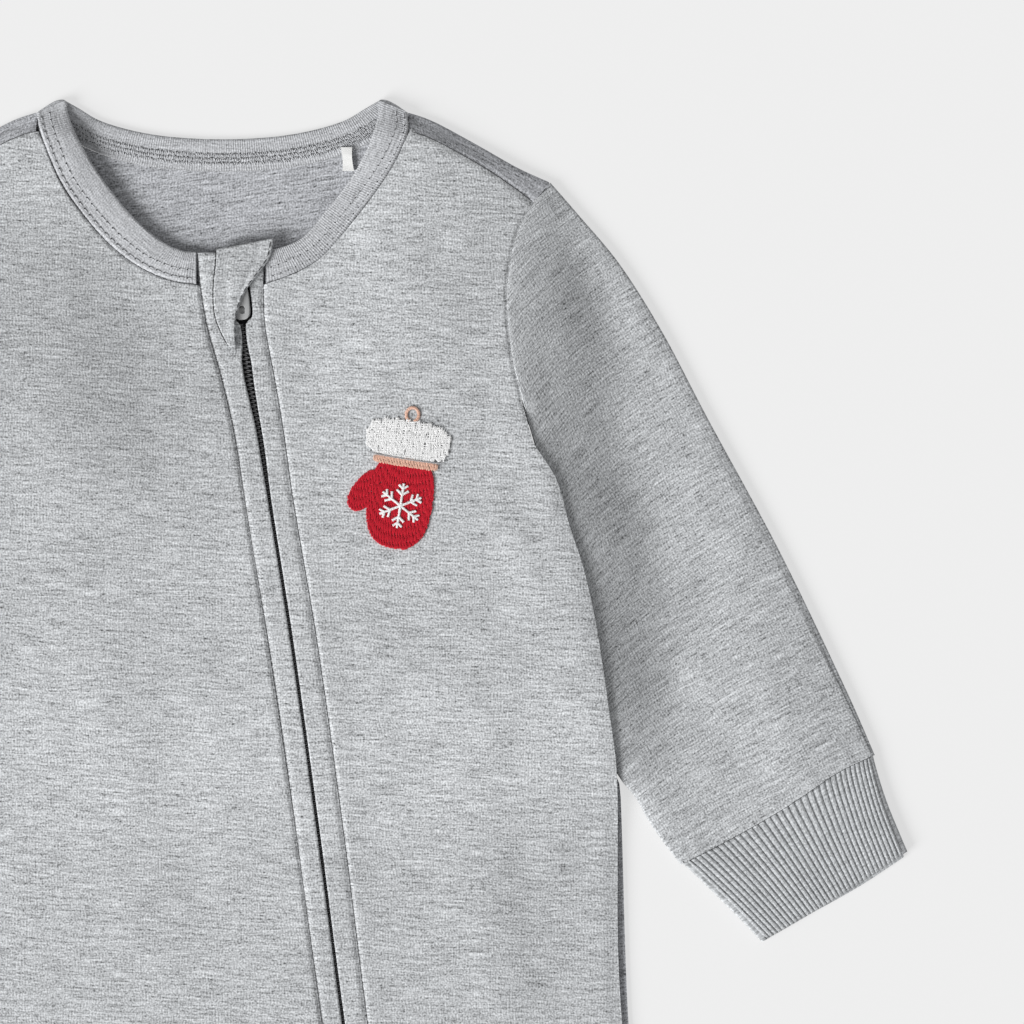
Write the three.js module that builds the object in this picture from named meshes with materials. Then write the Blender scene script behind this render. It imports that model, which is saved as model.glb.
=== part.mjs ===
// A baby's zipped onesie pajama in grey jersey, laid flat on its back: millimetres, +Z up, +Y towards the neck.
// Every piece that is cut and sewn is one closed wall, and seams leave a narrow gap between two pieces.
// Places on the garment are given as x, from the centre line to the viewer's right, and down, from the top of the
// shoulders towards the ankles.
import * as THREE from "three";

// Cloth and seams
const cloth = 1.2;
const ribCloth = 1.6;
const seamGap = 0.3;
const layerGap = 0.3;
const foldSteps = 4;

// Lengths from the top of the shoulders
const crotchDown = 388;
const legEnd = 540.7;
const ankleCuffLength = 32;
const totalLength = legEnd + seamGap + ankleCuffLength;
const highest = 1.2;
const topLayer = cloth + layerGap;

// Ribbed cuffs
const cuffRibs = 36;
const ribHeight = 0.45;
const cuffInset = 1.8;

// Zip
const tapeHalf = 6.2;
const tapeThick = 0.6;
const chainHalf = 1.6;
const chainThick = 0.9;
const tapeTop = 57;
const chainTop = 68.2;
const zipEnd = 528;
const tapeLevel = topLayer;
const chainLevel = tapeLevel + tapeThick + layerGap;
const placketLevel = chainLevel + chainThick + layerGap;
const sliderCentre = { x: 5.4, down: 62.2 };
const slider = { width: 6, length: 9.6, thick: 1.9 };
const pull = { width: 5, length: 12.4, thick: 0.8, hole: 2.6, holeLength: 2.3, end: 67.3, x: 5.6 };

// Neck edge and the seam of its binding, a row for each section. Front rows run from the zip to the shoulder.
const neckFrontRight = [
  { x: 7.8, down: 46.8, seamX: 7.8, seamDown: 56.5 },
  { x: 12, down: 46.3, seamX: 16, seamDown: 55.2 },
  { x: 18.1, down: 43.6, seamX: 25.5, seamDown: 50.9 },
  { x: 26.1, down: 36.9, seamX: 33.8, seamDown: 44.5 },
  { x: 34.2, down: 27.3, seamX: 42, seamDown: 35.4 },
  { x: 40.6, down: 17.6, seamX: 49, seamDown: 25 },
  { x: 45.2, down: 8.4, seamX: 54.8, seamDown: 10.6 },
  { x: 47.2, down: 1.2, seamX: 55.9, seamDown: 4.8 },
];
const neckFrontLeft = [
  { x: 13.2, down: 46.3, seamX: 13.2, seamDown: 56.2 },
  { x: 18.4, down: 45.2, seamX: 22.1, seamDown: 53 },
  { x: 24.8, down: 42, seamX: 30.6, seamDown: 47.8 },
  { x: 31.7, down: 33.9, seamX: 38.6, seamDown: 38.8 },
  { x: 38.2, down: 25.7, seamX: 46.2, seamDown: 29 },
  { x: 43.6, down: 16, seamX: 52.6, seamDown: 19.2 },
  { x: 46.6, down: 7.4, seamX: 56.2, seamDown: 10.4 },
  { x: 47.2, down: 1.2, seamX: 55.9, seamDown: 4.8 },
];
const neckBack = [
  { x: 47.2, down: 1.2, seamX: 55.9, seamDown: 4.8 },
  { x: 43, down: 3.6, seamX: 49.6, seamDown: 9.8 },
  { x: 37, down: 7.1, seamX: 41.6, seamDown: 15 },
  { x: 28.5, down: 9.8, seamX: 31.5, seamDown: 18.8 },
  { x: 18.5, down: 11.7, seamX: 20.3, seamDown: 21.2 },
  { x: 8, down: 12.6, seamX: 8.8, seamDown: 22.2 },
  { x: 0, down: 12.8, seamX: 0, seamDown: 22.4 },
];

// Shoulder fold and the forward shoulder seam in front of it, from the neck to the armhole.
const shoulder = [
  { x: 56.2, down: 4.8, seamX: 57, seamDown: 10.6 },
  { x: 64, down: 7.6, seamX: 64.4, seamDown: 13.4 },
  { x: 77.7, down: 15, seamX: 77, seamDown: 20.3 },
  { x: 89, down: 21.4, seamX: 86.4, seamDown: 26.4 },
  { x: 98.9, down: 25.9, seamX: 93.9, seamDown: 31.9 },
];

// Armhole seam down to the underarm, shared by the sleeve and the body.
const armhole = [
  { down: 25.9, x: 98.9 },
  { down: 28.6, x: 96.6 },
  { down: 31.9, x: 93.9 },
  { down: 39.1, x: 89.7 },
  { down: 47.6, x: 87.1 },
  { down: 57.3, x: 85.8 },
  { down: 66.4, x: 85.9 },
  { down: 79.4, x: 87.5 },
  { down: 91.8, x: 90.4 },
  { down: 104, x: 93.9 },
  { down: 115, x: 97.2 },
  { down: 128, x: 100.6 },
  { down: 141, x: 104.4 },
];

// Underarm edge of the sleeve: beside the body as far as the side seam, then free as far as the cuff.
const sleeveInner = [
  { down: 141, x: 104.4 },
  { down: 155, x: 108 },
  { down: 169, x: 110.4 },
  { down: 186, x: 112.8 },
  { down: 198, x: 115.8 },
  { down: 206, x: 120.3 },
  { down: 211, x: 124.4 },
  { down: 218, x: 128.4 },
  { down: 225, x: 133.2 },
  { down: 231.3, x: 138.1 },
];
const sleeveOuter = [
  { x: 98.9, down: 25.9 },
  { x: 107, down: 35.2 },
  { x: 120, down: 50.8 },
  { x: 133, down: 71.6 },
  { x: 146.6, down: 97.5 },
  { x: 167.7, down: 136.5 },
  { x: 187.2, down: 177 },
  { x: 196.6, down: 198.3 },
];
const sleeveEnd = [
  { x: 196.6, down: 198.3 },
  { x: 185.4, down: 203.6 },
  { x: 168.8, down: 214.6 },
  { x: 152, down: 224.2 },
  { x: 138.1, down: 231.3 },
];

// Wrist cuff: its two long edges, from the sleeve to the hand.
const wristCuff = [
  { outX: 194.9, outDown: 200.5, inX: 141, inDown: 230.8 },
  { outX: 199.6, outDown: 212.6, inX: 152.2, inDown: 243 },
  { outX: 206.4, outDown: 227.3, inX: 162.6, inDown: 254.6 },
];

// Side edges of the front and the back below the armhole. The front's edge lies over the sleeve's.
const frontSide = [
  { down: 91.8, x: 90.2 },
  { down: 98, x: 92 },
  { down: 104, x: 93.7 },
  { down: 115, x: 100.6 },
  { down: 130, x: 104.9 },
  { down: 141, x: 108.6 },
  { down: 155, x: 111.9 },
  { down: 169, x: 114.3 },
  { down: 186, x: 116.7 },
  { down: 198, x: 118.4 },
  { down: 206, x: 119 },
  { down: 218, x: 119.2 },
  { down: 256, x: 119.3 },
  { down: 279, x: 120.5 },
  { down: 335, x: 124.6 },
  { down: 388, x: 125.2 },
  { down: 445, x: 121.2 },
  { down: legEnd, x: 112.9 },
];
const backSide = [
  { down: 198, x: 115.5 },
  { down: 202, x: 117.5 },
  { down: 206, x: 119.5 },
  { down: 218, x: 120.3 },
  { down: 256, x: 121.4 },
  { down: 279, x: 122.4 },
  { down: 335, x: 126.4 },
  { down: 388, x: 127 },
  { down: 445, x: 123 },
  { down: legEnd, x: 114.6 },
];
const inseam = [
  { down: crotchDown, x: 0 },
  { down: 394, x: 8 },
  { down: 407, x: 15.5 },
  { down: 430, x: 23 },
  { down: 465, x: 31.2 },
  { down: 500, x: 37 },
  { down: legEnd, x: 41.6 },
];

// Zip: its centre and the outer seams of the two strips beside it.
const zip = [
  { down: 46.6, rightSeam: -7.5, centre: 3.4, leftSeam: 12.9 },
  { down: 57.3, rightSeam: -6.6, centre: 4.7, leftSeam: 12.4 },
  { down: 69.3, rightSeam: -4.6, centre: 6.1, leftSeam: 12.9 },
  { down: 84.9, rightSeam: -0.2, centre: 8.1, leftSeam: 15.8 },
  { down: 101.4, rightSeam: 3.7, centre: 11.4, leftSeam: 18.6 },
  { down: 121.5, rightSeam: 7, centre: 14.5, leftSeam: 21.5 },
  { down: 166, rightSeam: 14.3, centre: 21.5, leftSeam: 29 },
  { down: 218.5, rightSeam: 21.9, centre: 28.7, leftSeam: 36.2 },
  { down: 278.7, rightSeam: 30.1, centre: 36.6, leftSeam: 43.8 },
  { down: 400, rightSeam: 46.8, centre: 53.4, leftSeam: 60.5 },
  { down: legEnd, rightSeam: 66.2, centre: 72.8, leftSeam: 79.9 },
];
// Line in the right front from the neck to the crotch, where its two legs part.
const crotchLine = [
  { down: 53, x: -22 },
  { down: 140, x: -15 },
  { down: crotchDown, x: 0 },
];

// Guard flap over the top of the zip: its left and right edges.
const guard = [
  { leftX: -1.6, leftDown: 46, rightX: 15.6, rightDown: 42.6 },
  { leftX: -1.8, leftDown: 50.5, rightX: 14.4, rightDown: 48.6 },
  { leftX: -2.4, leftDown: 56, rightX: 10.4, rightDown: 54.2 },
  { leftX: -2.5, leftDown: 61.4, rightX: 6.8, rightDown: 59.2 },
  { leftX: -1.8, leftDown: 66.8, rightX: 4.6, rightDown: 65 },
  { leftX: 0.4, leftDown: 72.2, rightX: 4.1, rightDown: 71 },
  { leftX: 3, leftDown: 76.6, rightX: 4.4, rightDown: 76.2 },
];

// Soft folds of the cloth: middle, direction, half length and half width across, and height.
const bodyFolds = [
  { x: 62, down: 66, turn: 62, long: 38, wide: 9, high: 0.9 },
  { x: 74, down: 122, turn: 38, long: 34, wide: 10, high: 0.8 },
  { x: -70, down: 118, turn: -34, long: 40, wide: 11, high: 0.8 },
  { x: -38, down: 175, turn: 82, long: 70, wide: 14, high: 0.7 },
  { x: 78, down: 215, turn: 84, long: 66, wide: 13, high: 0.7 },
  { x: -88, down: 250, turn: 70, long: 60, wide: 12, high: 0.9 },
  { x: 4, down: 330, turn: 60, long: 48, wide: 13, high: 0.9 },
  { x: -62, down: 392, turn: 35, long: 44, wide: 12, high: 1 },
  { x: 92, down: 380, turn: -40, long: 40, wide: 11, high: 0.9 },
  { x: -74, down: 470, turn: 78, long: 42, wide: 9, high: 0.8 },
  { x: 96, down: 470, turn: 96, long: 42, wide: 7, high: 0.8 },
];
const sleeveFolds = [
  { x: 112, down: 92, turn: 66, long: 42, wide: 9, high: 1.1 },
  { x: 128, down: 128, turn: 52, long: 44, wide: 8, high: -0.7 },
  { x: 136, down: 158, turn: 58, long: 46, wide: 10, high: 0.9 },
  { x: 166, down: 178, turn: 60, long: 34, wide: 8, high: 0.7 },
];

const colours = {
  jersey: 0xb4b6ba,
  jerseyInside: 0xa2a5aa,
  rib: 0xa6a8ac,
  tape: 0x8f9195,
  teeth: 0x2b2c2f,
  paint: 0xb9bbbe,
  label: 0xf2f2f0,
};

const point = (x, down) => new THREE.Vector2(x, down);
const raised = (p, z) => new THREE.Vector3(p.x, -p.y, z);
const clamp01 = (t) => Math.min(Math.max(t, 0), 1);
const ease = (t) => clamp01(t) ** 2 * (3 - 2 * clamp01(t));
const mix = (a, b, t) => a + (b - a) * t;

// A table's column as a smooth function of another column.
function column(rows, name, place = "down") {
  const last = rows.length - 1;
  const slope = (i) => {
    const before = rows[Math.max(i - 1, 0)];
    const after = rows[Math.min(i + 1, last)];
    return (after[name] - before[name]) / (after[place] - before[place]);
  };
  return (at) => {
    let i = 0;
    while (i < last - 1 && at > rows[i + 1][place]) i++;
    const span = rows[i + 1][place] - rows[i][place];
    const t = clamp01((at - rows[i][place]) / span);
    return (
      rows[i][name] * (1 + 2 * t) * (1 - t) ** 2 +
      rows[i + 1][name] * t * t * (3 - 2 * t) +
      span * (slope(i) * t * (1 - t) ** 2 - slope(i + 1) * t * t * (1 - t))
    );
  };
}

const spline = (rows, x = "x", down = "down") =>
  new THREE.SplineCurve(rows.map((row) => point(row[x], row[down])));

// A wall of cloth: pairs of inner and outer points in patches, joined where they meet and closed along its edges.
class Wall {
  constructor() {
    this.places = new Map();
    this.pairs = [];
    this.quads = [];
  }

  index([inner, outer]) {
    const key = [...inner.toArray(), ...outer.toArray()].map((n) => n.toFixed(2)).join();
    if (!this.places.has(key)) {
      this.places.set(key, this.pairs.length);
      this.pairs.push([inner, outer]);
    }
    return this.places.get(key);
  }

  patch(rows, around = false) {
    const ids = rows.map((row) => row.map((pair) => this.index(pair)));
    const count = ids[0].length;
    for (let j = 0; j + 1 < ids.length; j++)
      for (let i = 0; i < (around ? count : count - 1); i++) {
        const next = (i + 1) % count;
        this.quads.push([ids[j][i], ids[j + 1][i], ids[j + 1][next], ids[j][next]]);
      }
    return this;
  }

  geometry() {
    const half = this.pairs.length;
    const faces = [];
    const edges = new Set();
    const put = (a, b, c, d) => faces.push([a, b, c], [a, c, d]);
    for (const q of this.quads) {
      put(...q);
      put(q[3] + half, q[2] + half, q[1] + half, q[0] + half);
      q.forEach((a, k) => edges.add(`${a}-${q[(k + 1) % 4]}`));
    }
    for (const edge of edges) {
      const [a, b] = edge.split("-").map(Number);
      if (a !== b && !edges.has(`${b}-${a}`)) put(b, a, a + half, b + half);
    }
    const corners = [...this.pairs.map((pair) => pair[0]), ...this.pairs.map((pair) => pair[1])];
    const whole = faces.filter(([a, b, c]) => a !== b && b !== c && a !== c);
    let volume = 0;
    for (const [a, b, c] of whole) volume += corners[a].dot(corners[b].clone().cross(corners[c]));
    if (volume < 0) whole.forEach((face) => face.reverse());
    const shape = new THREE.BufferGeometry();
    shape.setAttribute("position", new THREE.Float32BufferAttribute(corners.flatMap((c) => c.toArray()), 3));
    shape.setIndex(whole.flat());
    shape.computeVertexNormals();
    return shape;
  }
}

// Points between a left and a right edge, row by row. The top edge's own shape fades out over a length.
function between(left, right, top, fade) {
  const width = top[top.length - 1].x - top[0].x;
  return left.map((start, j) => {
    const keep = clamp01(1 - (right[j].y - right[0].y) / fade) * clamp01(1 - (start.y - left[0].y) / fade);
    return top.map((edge, i) => {
      const share = (edge.x - top[0].x) / width;
      const pulled = edge.clone().sub(left[0].clone().lerp(right[0], share));
      return start.clone().lerp(right[j], share).addScaledVector(pulled, keep);
    });
  });
}

// Height that the folds of a table add at a place.
function foldHeight(folds, x, down) {
  return folds.reduce((sum, fold) => {
    const turn = THREE.MathUtils.degToRad(fold.turn);
    const along = (x - fold.x) * Math.cos(turn) + (down - fold.down) * Math.sin(turn);
    const across = (down - fold.down) * Math.cos(turn) - (x - fold.x) * Math.sin(turn);
    return sum + fold.high * Math.exp(-((across / fold.wide) ** 2) - (along / fold.long) ** 4);
  }, 0);
}

const armholeX = column(armhole, "x");
const frontSideX = column(frontSide, "x");
const backSideX = column(backSide, "x");
const sleeveInnerX = column(sleeveInner, "x");
const inseamX = column(inseam, "x");
const zipCentre = column(zip, "centre");
const zipRight = column(zip, "rightSeam");
const zipLeft = column(zip, "leftSeam");
const crotchLineX = column(crotchLine, "x");

// How far the front is lifted at its side edge: by the sleeve's cloth beside it, then by the sleeve under it.
const edgeLift = column(
  [
    { down: 20, lift: 0.8 },
    { down: 88, lift: 0.8 },
    { down: 100, lift: 2.5 },
    { down: 190, lift: 2.3 },
    { down: 203, lift: 2 },
    { down: 214, lift: 0.4 },
    { down: 224, lift: 0.1 },
    { down: legEnd, lift: 0.1 },
  ],
  "lift",
);
const sideX = (down) => (down < 91.8 ? armholeX(down) : frontSideX(down));

// Lift of the front's cloth off the back: rounded down at the sides, raised by the tape beside the zip.
function frontLift(x, down) {
  const fromSide = sideX(down) - Math.abs(x);
  const fromZip = Math.min(Math.abs(x - zipRight(down)), Math.abs(x - zipLeft(down)));
  const inZip = x > zipRight(down) && x < zipLeft(down);
  const beside = inZip ? 1 : ease(1 - fromZip / 14);
  const open = Math.max(0.8 + foldHeight(bodyFolds, x, down), 0.4);
  const middle = mix(open, 1.1, beside);
  const neck = ease((down - 8) / 40);
  return mix(edgeLift(down), mix(0.75, middle, neck), ease((fromSide - 4) / 14));
}

const rows = {
  arm: armhole.map((row) => row.down),
  side: [155, 169, 186, 198, 206, 218, 248, 279, 320, 355, crotchDown],
  leg: [394, 407, 430, 465, 500, legEnd],
};
const crotchRow = (list) => list.indexOf(crotchDown);

const top = (p, thick = cloth, low = topLayer) => {
  const z = low + frontLift(p.x, p.y);
  return [raised(p, z), raised(p, z + thick)];
};
const flat = (p, thick = cloth, low = 0) => [raised(p, low + thick), raised(p, low)];

// Sections of the neck binding: the neck edge and the seam at equal steps along a table.
const neckSteps = 7;
function neckSections(table, steps) {
  const edge = spline(table);
  const seam = spline(table, "seamX", "seamDown");
  return Array.from({ length: steps + 1 }, (_, k) => ({
    edge: edge.getPoint(k / steps),
    seam: seam.getPoint(k / steps),
  }));
}
const neckSet = {
  right: neckSections(neckFrontRight.slice(0, -1), neckSteps),
  left: neckSections(neckFrontLeft.slice(0, -1), neckSteps),
  back: neckSections(neckBack, 6),
};
const beyond = (section) => {
  const away = section.seam.clone().sub(section.edge).normalize();
  return section.seam.clone().addScaledVector(away, seamGap);
};
const flipX = (p) => point(-p.x, p.y);
const shoulderSteps = 4;
const forwardSeam = spline(shoulder, "seamX", "seamDown").getPoints(shoulderSteps);
const shoulderFold = spline(shoulder).getPoints(shoulderSteps);

// Rows of an edge beside the zip, level with the side rows below the chest.
const zipRows = (seam, downs, start, step) =>
  downs.map((down) => {
    const level = down < 141 ? mix(start, 141, (down - downs[0]) / (141 - downs[0])) : down;
    return point(seam(level) + step, level);
  });

// Front on the wearer's left: from the zip to the side, one leg's outer half.
function frontLeftPiece() {
  const downs = [...rows.arm.slice(2), ...rows.side, ...rows.leg];
  const neck = neckSet.left.map(beyond);
  const topEdge = [...neck, ...forwardSeam.slice(1).map((p) => point(p.x - seamGap, p.y + seamGap))];
  const corner = topEdge[topEdge.length - 1];
  const side = downs.map((down, j) => (j ? point(sideX(down) - seamGap / 2, down) : corner));
  const zipEdge = zipRows(zipLeft, downs, neck[0].y, seamGap);
  zipEdge[0] = topEdge[0];
  const grid = between(zipEdge, side, topEdge, 110);
  return new Wall().patch(grid.map((row) => row.map((p) => top(p))));
}

// Front on the wearer's right: from the side across the centre to the zip, with the crotch.
function frontRightPiece() {
  const downs = [...rows.arm.slice(2), ...rows.side, ...rows.leg];
  const split = 3;
  const neck = neckSet.right.map(beyond).map(flipX);
  const shoulderEdge = forwardSeam.slice(1).map((p) => point(seamGap - p.x, p.y + seamGap));
  const topEdge = [...shoulderEdge.reverse(), ...neck.slice().reverse()];
  const crotchStart = topEdge.length - 1 - split;
  const side = downs.map((down, j) => (j ? point(-sideX(down) + seamGap / 2, down) : topEdge[0]));
  const zipEdge = zipRows(zipRight, downs, neck[0].y, -seamGap);
  zipEdge[0] = topEdge[topEdge.length - 1];
  const start = topEdge[crotchStart];
  const shift = start.x - crotchLineX(start.y);
  const middle = zipRows(crotchLineX, downs, start.y, 0).map((p) =>
    point(p.x + shift * clamp01(1 - (p.y - start.y) / 200), p.y),
  );
  middle[0] = start;
  const meeting = crotchRow(downs);
  const legOf = (sign) => middle.map((p, j) => (j > meeting ? point(sign * inseamX(downs[j]), downs[j]) : p));
  const wall = new Wall();
  wall.patch(between(side, legOf(-1), topEdge.slice(0, crotchStart + 1), 110).map((row) => row.map((p) => top(p))));
  wall.patch(between(legOf(1), zipEdge, topEdge.slice(crotchStart), 110).map((row) => row.map((p) => top(p))));
  return wall;
}

// Back: flat under everything, and over each shoulder to the forward seam.
function backPiece() {
  const downs = [...rows.arm, ...rows.side, ...rows.leg];
  const neck = neckSet.back.map(beyond).reverse();
  const reach = cloth + layerGap / 2;
  const outward = shoulderFold.map((p, i) => {
    const before = shoulderFold[Math.max(i - 1, 0)];
    const after = shoulderFold[Math.min(i + 1, shoulderSteps)];
    return point(after.y - before.y, before.x - after.x).normalize();
  });
  const foldLine = shoulderFold.map((p, i) => p.clone().addScaledVector(outward[i], -reach));
  const forward = forwardSeam.map((p) => point(p.x, p.y));
  forward[0] = point(neckSet.left[neckSteps].seam.x + 2 * seamGap, forward[0].y);
  foldLine[0].x += seamGap;
  foldLine[shoulderSteps].x -= 2 * seamGap;
  forward[shoulderSteps].x -= 1.5 * seamGap;
  const edgeX = (down) => {
    if (down <= 141) return armholeX(down) - seamGap;
    return down < 198 ? sleeveInnerX(down) - seamGap : backSideX(down);
  };
  const topEdge = [...neck.slice(0, -1), ...foldLine];
  const side = downs.map((down) => point(edgeX(down), down));
  side[0] = topEdge[topEdge.length - 1];
  const start = topEdge[0];
  const centre = downs.map((down) => point(0, down < 141 ? mix(start.y, 141, (down - downs[0]) / (141 - downs[0])) : down));
  const meeting = crotchRow(downs);
  const legEdge = centre.map((p, j) => (j > meeting ? point(inseamX(downs[j]), downs[j]) : p));
  const grid = between(legEdge, side, topEdge, 110);
  const wrap = [];
  for (let k = 0; k <= foldSteps; k++) {
    const turn = Math.PI * (k / foldSteps - 0.5);
    wrap.push(
      foldLine.map((p, i) =>
        [layerGap / 2, reach].map((radius) =>
          raised(p.clone().addScaledVector(outward[i], radius * Math.cos(turn)), reach + radius * Math.sin(turn)),
        ),
      ),
    );
  }
  for (const share of [0.5, 1])
    wrap.push(foldLine.map((p, i) => top(p.clone().lerp(forward[i], share), cloth, topLayer - 0.75 * (1 - share))));
  const wall = new Wall();
  const mirror = (pair) => pair.map((p) => new THREE.Vector3(-p.x, p.y, p.z));
  const half = grid.map((row) => row.map((p) => flat(p)));
  wall.patch(half).patch(half.map((row) => row.map(mirror).reverse()));
  const over = wrap.slice().reverse();
  wall.patch(over).patch(over.map((row) => row.map(mirror).reverse()));
  return wall;
}

// A flattened ring of cloth through a line of points whose two ends are its folds. It lies flat below, on its own
// number of points, and above it is lifted, with ribs on its outer side where it has any.
function flatRing(line, lift, wall, bottomPoints, rib = () => 0) {
  const reach = wall + layerGap / 2;
  const last = line.length - 1;
  const both = (make) => [layerGap / 2, reach].map(make);
  const fold = (corner, next, turns) => {
    const away = corner.clone().sub(next).normalize();
    const middle = corner.clone().addScaledVector(away, -reach);
    return turns.map((turn) =>
      both((radius) =>
        raised(middle.clone().addScaledVector(away, radius * Math.cos(turn)), reach + radius * Math.sin(turn)),
      ),
    );
  };
  const downwards = Array.from({ length: foldSteps + 1 }, (_, k) => Math.PI * (0.5 - k / foldSteps));
  const upper = line.slice(1, last).map((p, i) =>
    both((radius) => raised(p, reach + radius + lift((i + 1) / last, p) + (radius === reach ? rib(i) : 0))),
  );
  const lower = Array.from({ length: bottomPoints }, (_, k) => {
    const at = (1 - (k + 1) / (bottomPoints + 1)) * last;
    const i = Math.min(Math.floor(at), last - 1);
    return both((radius) => raised(line[i].clone().lerp(line[i + 1], at - i), reach - radius));
  });
  return [
    ...upper,
    ...fold(line[last], line[last - 1], downwards),
    ...lower,
    ...fold(line[0], line[1], downwards.slice().reverse()),
  ];
}

// Sleeve: rings from the armhole seam to the cuff.
const sleeveDowns = [141, 155, 162, 169, 177.5, 186, 198, 202, 206, 211, 218, 231.3];
function sleevePiece() {
  const outerEdge = spline(sleeveOuter).getSpacedPoints(sleeveDowns.length - 1);
  const innerEdge = sleeveDowns.map((down) => point(sleeveInnerX(down), down));
  const seam = armhole.map((row) => point(row.x, row.down));
  const lengths = seam.map((p, i) => (i ? p.distanceTo(seam[i - 1]) : 0));
  const total = lengths.reduce((a, b) => a + b);
  let run = 0;
  const shares = lengths.map((length) => (run += length) / total);
  const end = spline(sleeveEnd);
  const last = sleeveDowns.length - 1;
  const straight = (from, to, share) => from.clone().lerp(to, share);
  const rings = outerEdge.map((outer, j) => {
    const along = j / last;
    const line = shares.map((share, i) => {
      const startPull = seam[i].clone().sub(straight(seam[0], seam[seam.length - 1], share));
      const endPull = end.getPoint(share).sub(straight(outerEdge[last], innerEdge[last], share));
      return straight(outer, innerEdge[j], share)
        .addScaledVector(startPull, (1 - along) ** 1.6)
        .addScaledVector(endPull, along ** 4);
    });
    const lift = (share, p) => {
      const crown = mix(0.8, 1.3, Math.sin(Math.PI * along)) * ease(share / 0.16) * ease((1 - share) / 0.3);
      const folds = foldHeight(sleeveFolds, p.x, p.y) * ease(along / 0.2) * ease(share / 0.2) * ease((1 - share) / 0.35);
      return Math.max(crown + folds, 0);
    };
    return flatRing(line, lift, cloth, 6);
  });
  return new Wall().patch(rings, true);
}

// Ribbed cuff between two long edges, with raised ribs on its upper face. The ribs start clear of the folds. Each
// ring is a straight line that its bow, a function of the share along it, moves.
function cuffPiece(outerPoints, innerPoints, bows) {
  const places = 2 * cuffRibs;
  const clear = 3;
  const rings = outerPoints.map((outer, j) => {
    const line = Array.from({ length: places + 1 }, (_, i) => {
      const p = outer.clone().lerp(innerPoints[j], i / places);
      return p.add(bows[j](i / places));
    }).filter((p, i) => i === 0 || i === places || (i >= clear && i <= places - clear));
    const lift = (share) => 0.25 * ease(share / 0.12) * ease((1 - share) / 0.12);
    return flatRing(line, lift, ribCloth - 0.2, 8, (i) => (i % 2 ? 0 : ribHeight));
  });
  return new Wall().patch(rings, true);
}

function wristCuffPiece() {
  const outer = wristCuff.map((row) => point(row.outX, row.outDown));
  const inner = wristCuff.map((row) => point(row.inX, row.inDown));
  const end = spline(sleeveEnd);
  const away = point(0.49, 0.87).multiplyScalar(seamGap + 0.15);
  const seamLine = (share) => end.getPoint(mix(0.027, 0.975, share)).add(away);
  const curve = (high) => (share) => high.clone().multiplyScalar(Math.sin(Math.PI * share));
  const bows = [
    (share) => seamLine(share).sub(outer[0].clone().lerp(inner[0], share)),
    curve(point(0.1, 0.2)),
    curve(point(0.2, 0.6)),
  ];
  return cuffPiece(outer, inner, bows);
}

function ankleCuffPiece() {
  const start = legEnd + seamGap;
  const edges = [0, 0.5, 1].map((share) => ({
    out: point(mix(frontSideX(legEnd) - cuffInset, frontSideX(legEnd) - 6, share), start + ankleCuffLength * share),
    in: point(mix(inseamX(legEnd) + cuffInset, inseamX(legEnd) + 6.5, share), start + ankleCuffLength * share),
  }));
  return cuffPiece(
    edges.map((edge) => edge.out),
    edges.map((edge) => edge.in),
    edges.map(() => () => point(0, 0)),
  );
}

// Neck binding: a folded rib strip from one side of the zip round the neck to the other.
function bindingPiece() {
  const reach = ribCloth + layerGap / 2;
  const across = [0, 1 / 3, 2 / 3, 1];
  const layer = (section, make) => across.map((share) => make(section.edge.clone().lerp(section.seam, share), share));
  const swell = (share) => 0.35 * Math.sin(Math.PI * share);
  const over = (sections, sign) =>
    sections.map((section) =>
      layer(section, (p, share) => {
        const q = point(sign * p.x, p.y);
        const lift = 0.4 + Math.max(frontLift(q.x, Math.max(q.y, 12)) - 0.75, 0) * ease((q.y - 20) / 25);
        return [raised(q, topLayer + lift), raised(q, topLayer + lift + ribCloth + swell(share))];
      }),
    );
  const fold = (sign) => {
    const corner = neckSet.back[0];
    const line = corner.seam.clone().sub(corner.edge).normalize();
    const out = point(line.y, -line.x);
    return Array.from({ length: foldSteps + 1 }, (_, k) => {
      const turn = Math.PI * (0.5 - k / foldSteps);
      return layer(corner, (p) =>
        [layerGap / 2, reach].map((radius) => {
          const q = p.clone().addScaledVector(out, radius * Math.cos(turn) - reach);
          return raised(point(sign * q.x, q.y), reach + radius * Math.sin(turn));
        }),
      );
    });
  };
  const under = (sections, sign) =>
    sections.map((section) => layer(section, (p) => flat(point(sign * p.x, p.y), ribCloth)));
  return new Wall().patch([
    ...over(neckSet.right, -1),
    ...fold(-1),
    ...under(neckSet.back.slice(1), -1),
    ...under(neckSet.back.slice(1, -1).reverse(), 1),
    ...fold(1).reverse(),
    ...over(neckSet.left.slice().reverse(), 1),
  ]);
}

// A strip along the zip between two edges, each a function of the place down.
function zipStrip(from, to, downs, shares, low, thick) {
  return new Wall().patch(
    downs.map((down) =>
      shares.map((share) => {
        const p = point(mix(from(down), to(down), share), down);
        const z = low(share, down);
        return [raised(p, z), raised(p, z + thick)];
      }),
    ),
  );
}
const zipDowns = (start, end, steps) => Array.from({ length: steps + 1 }, (_, k) => mix(start, end, k / steps));
const placketDowns = [52, 57, 62, 67.6, 69.4, 74, 80, 88, 98, 110, 125, ...zipDowns(141, legEnd, 14)];

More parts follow.
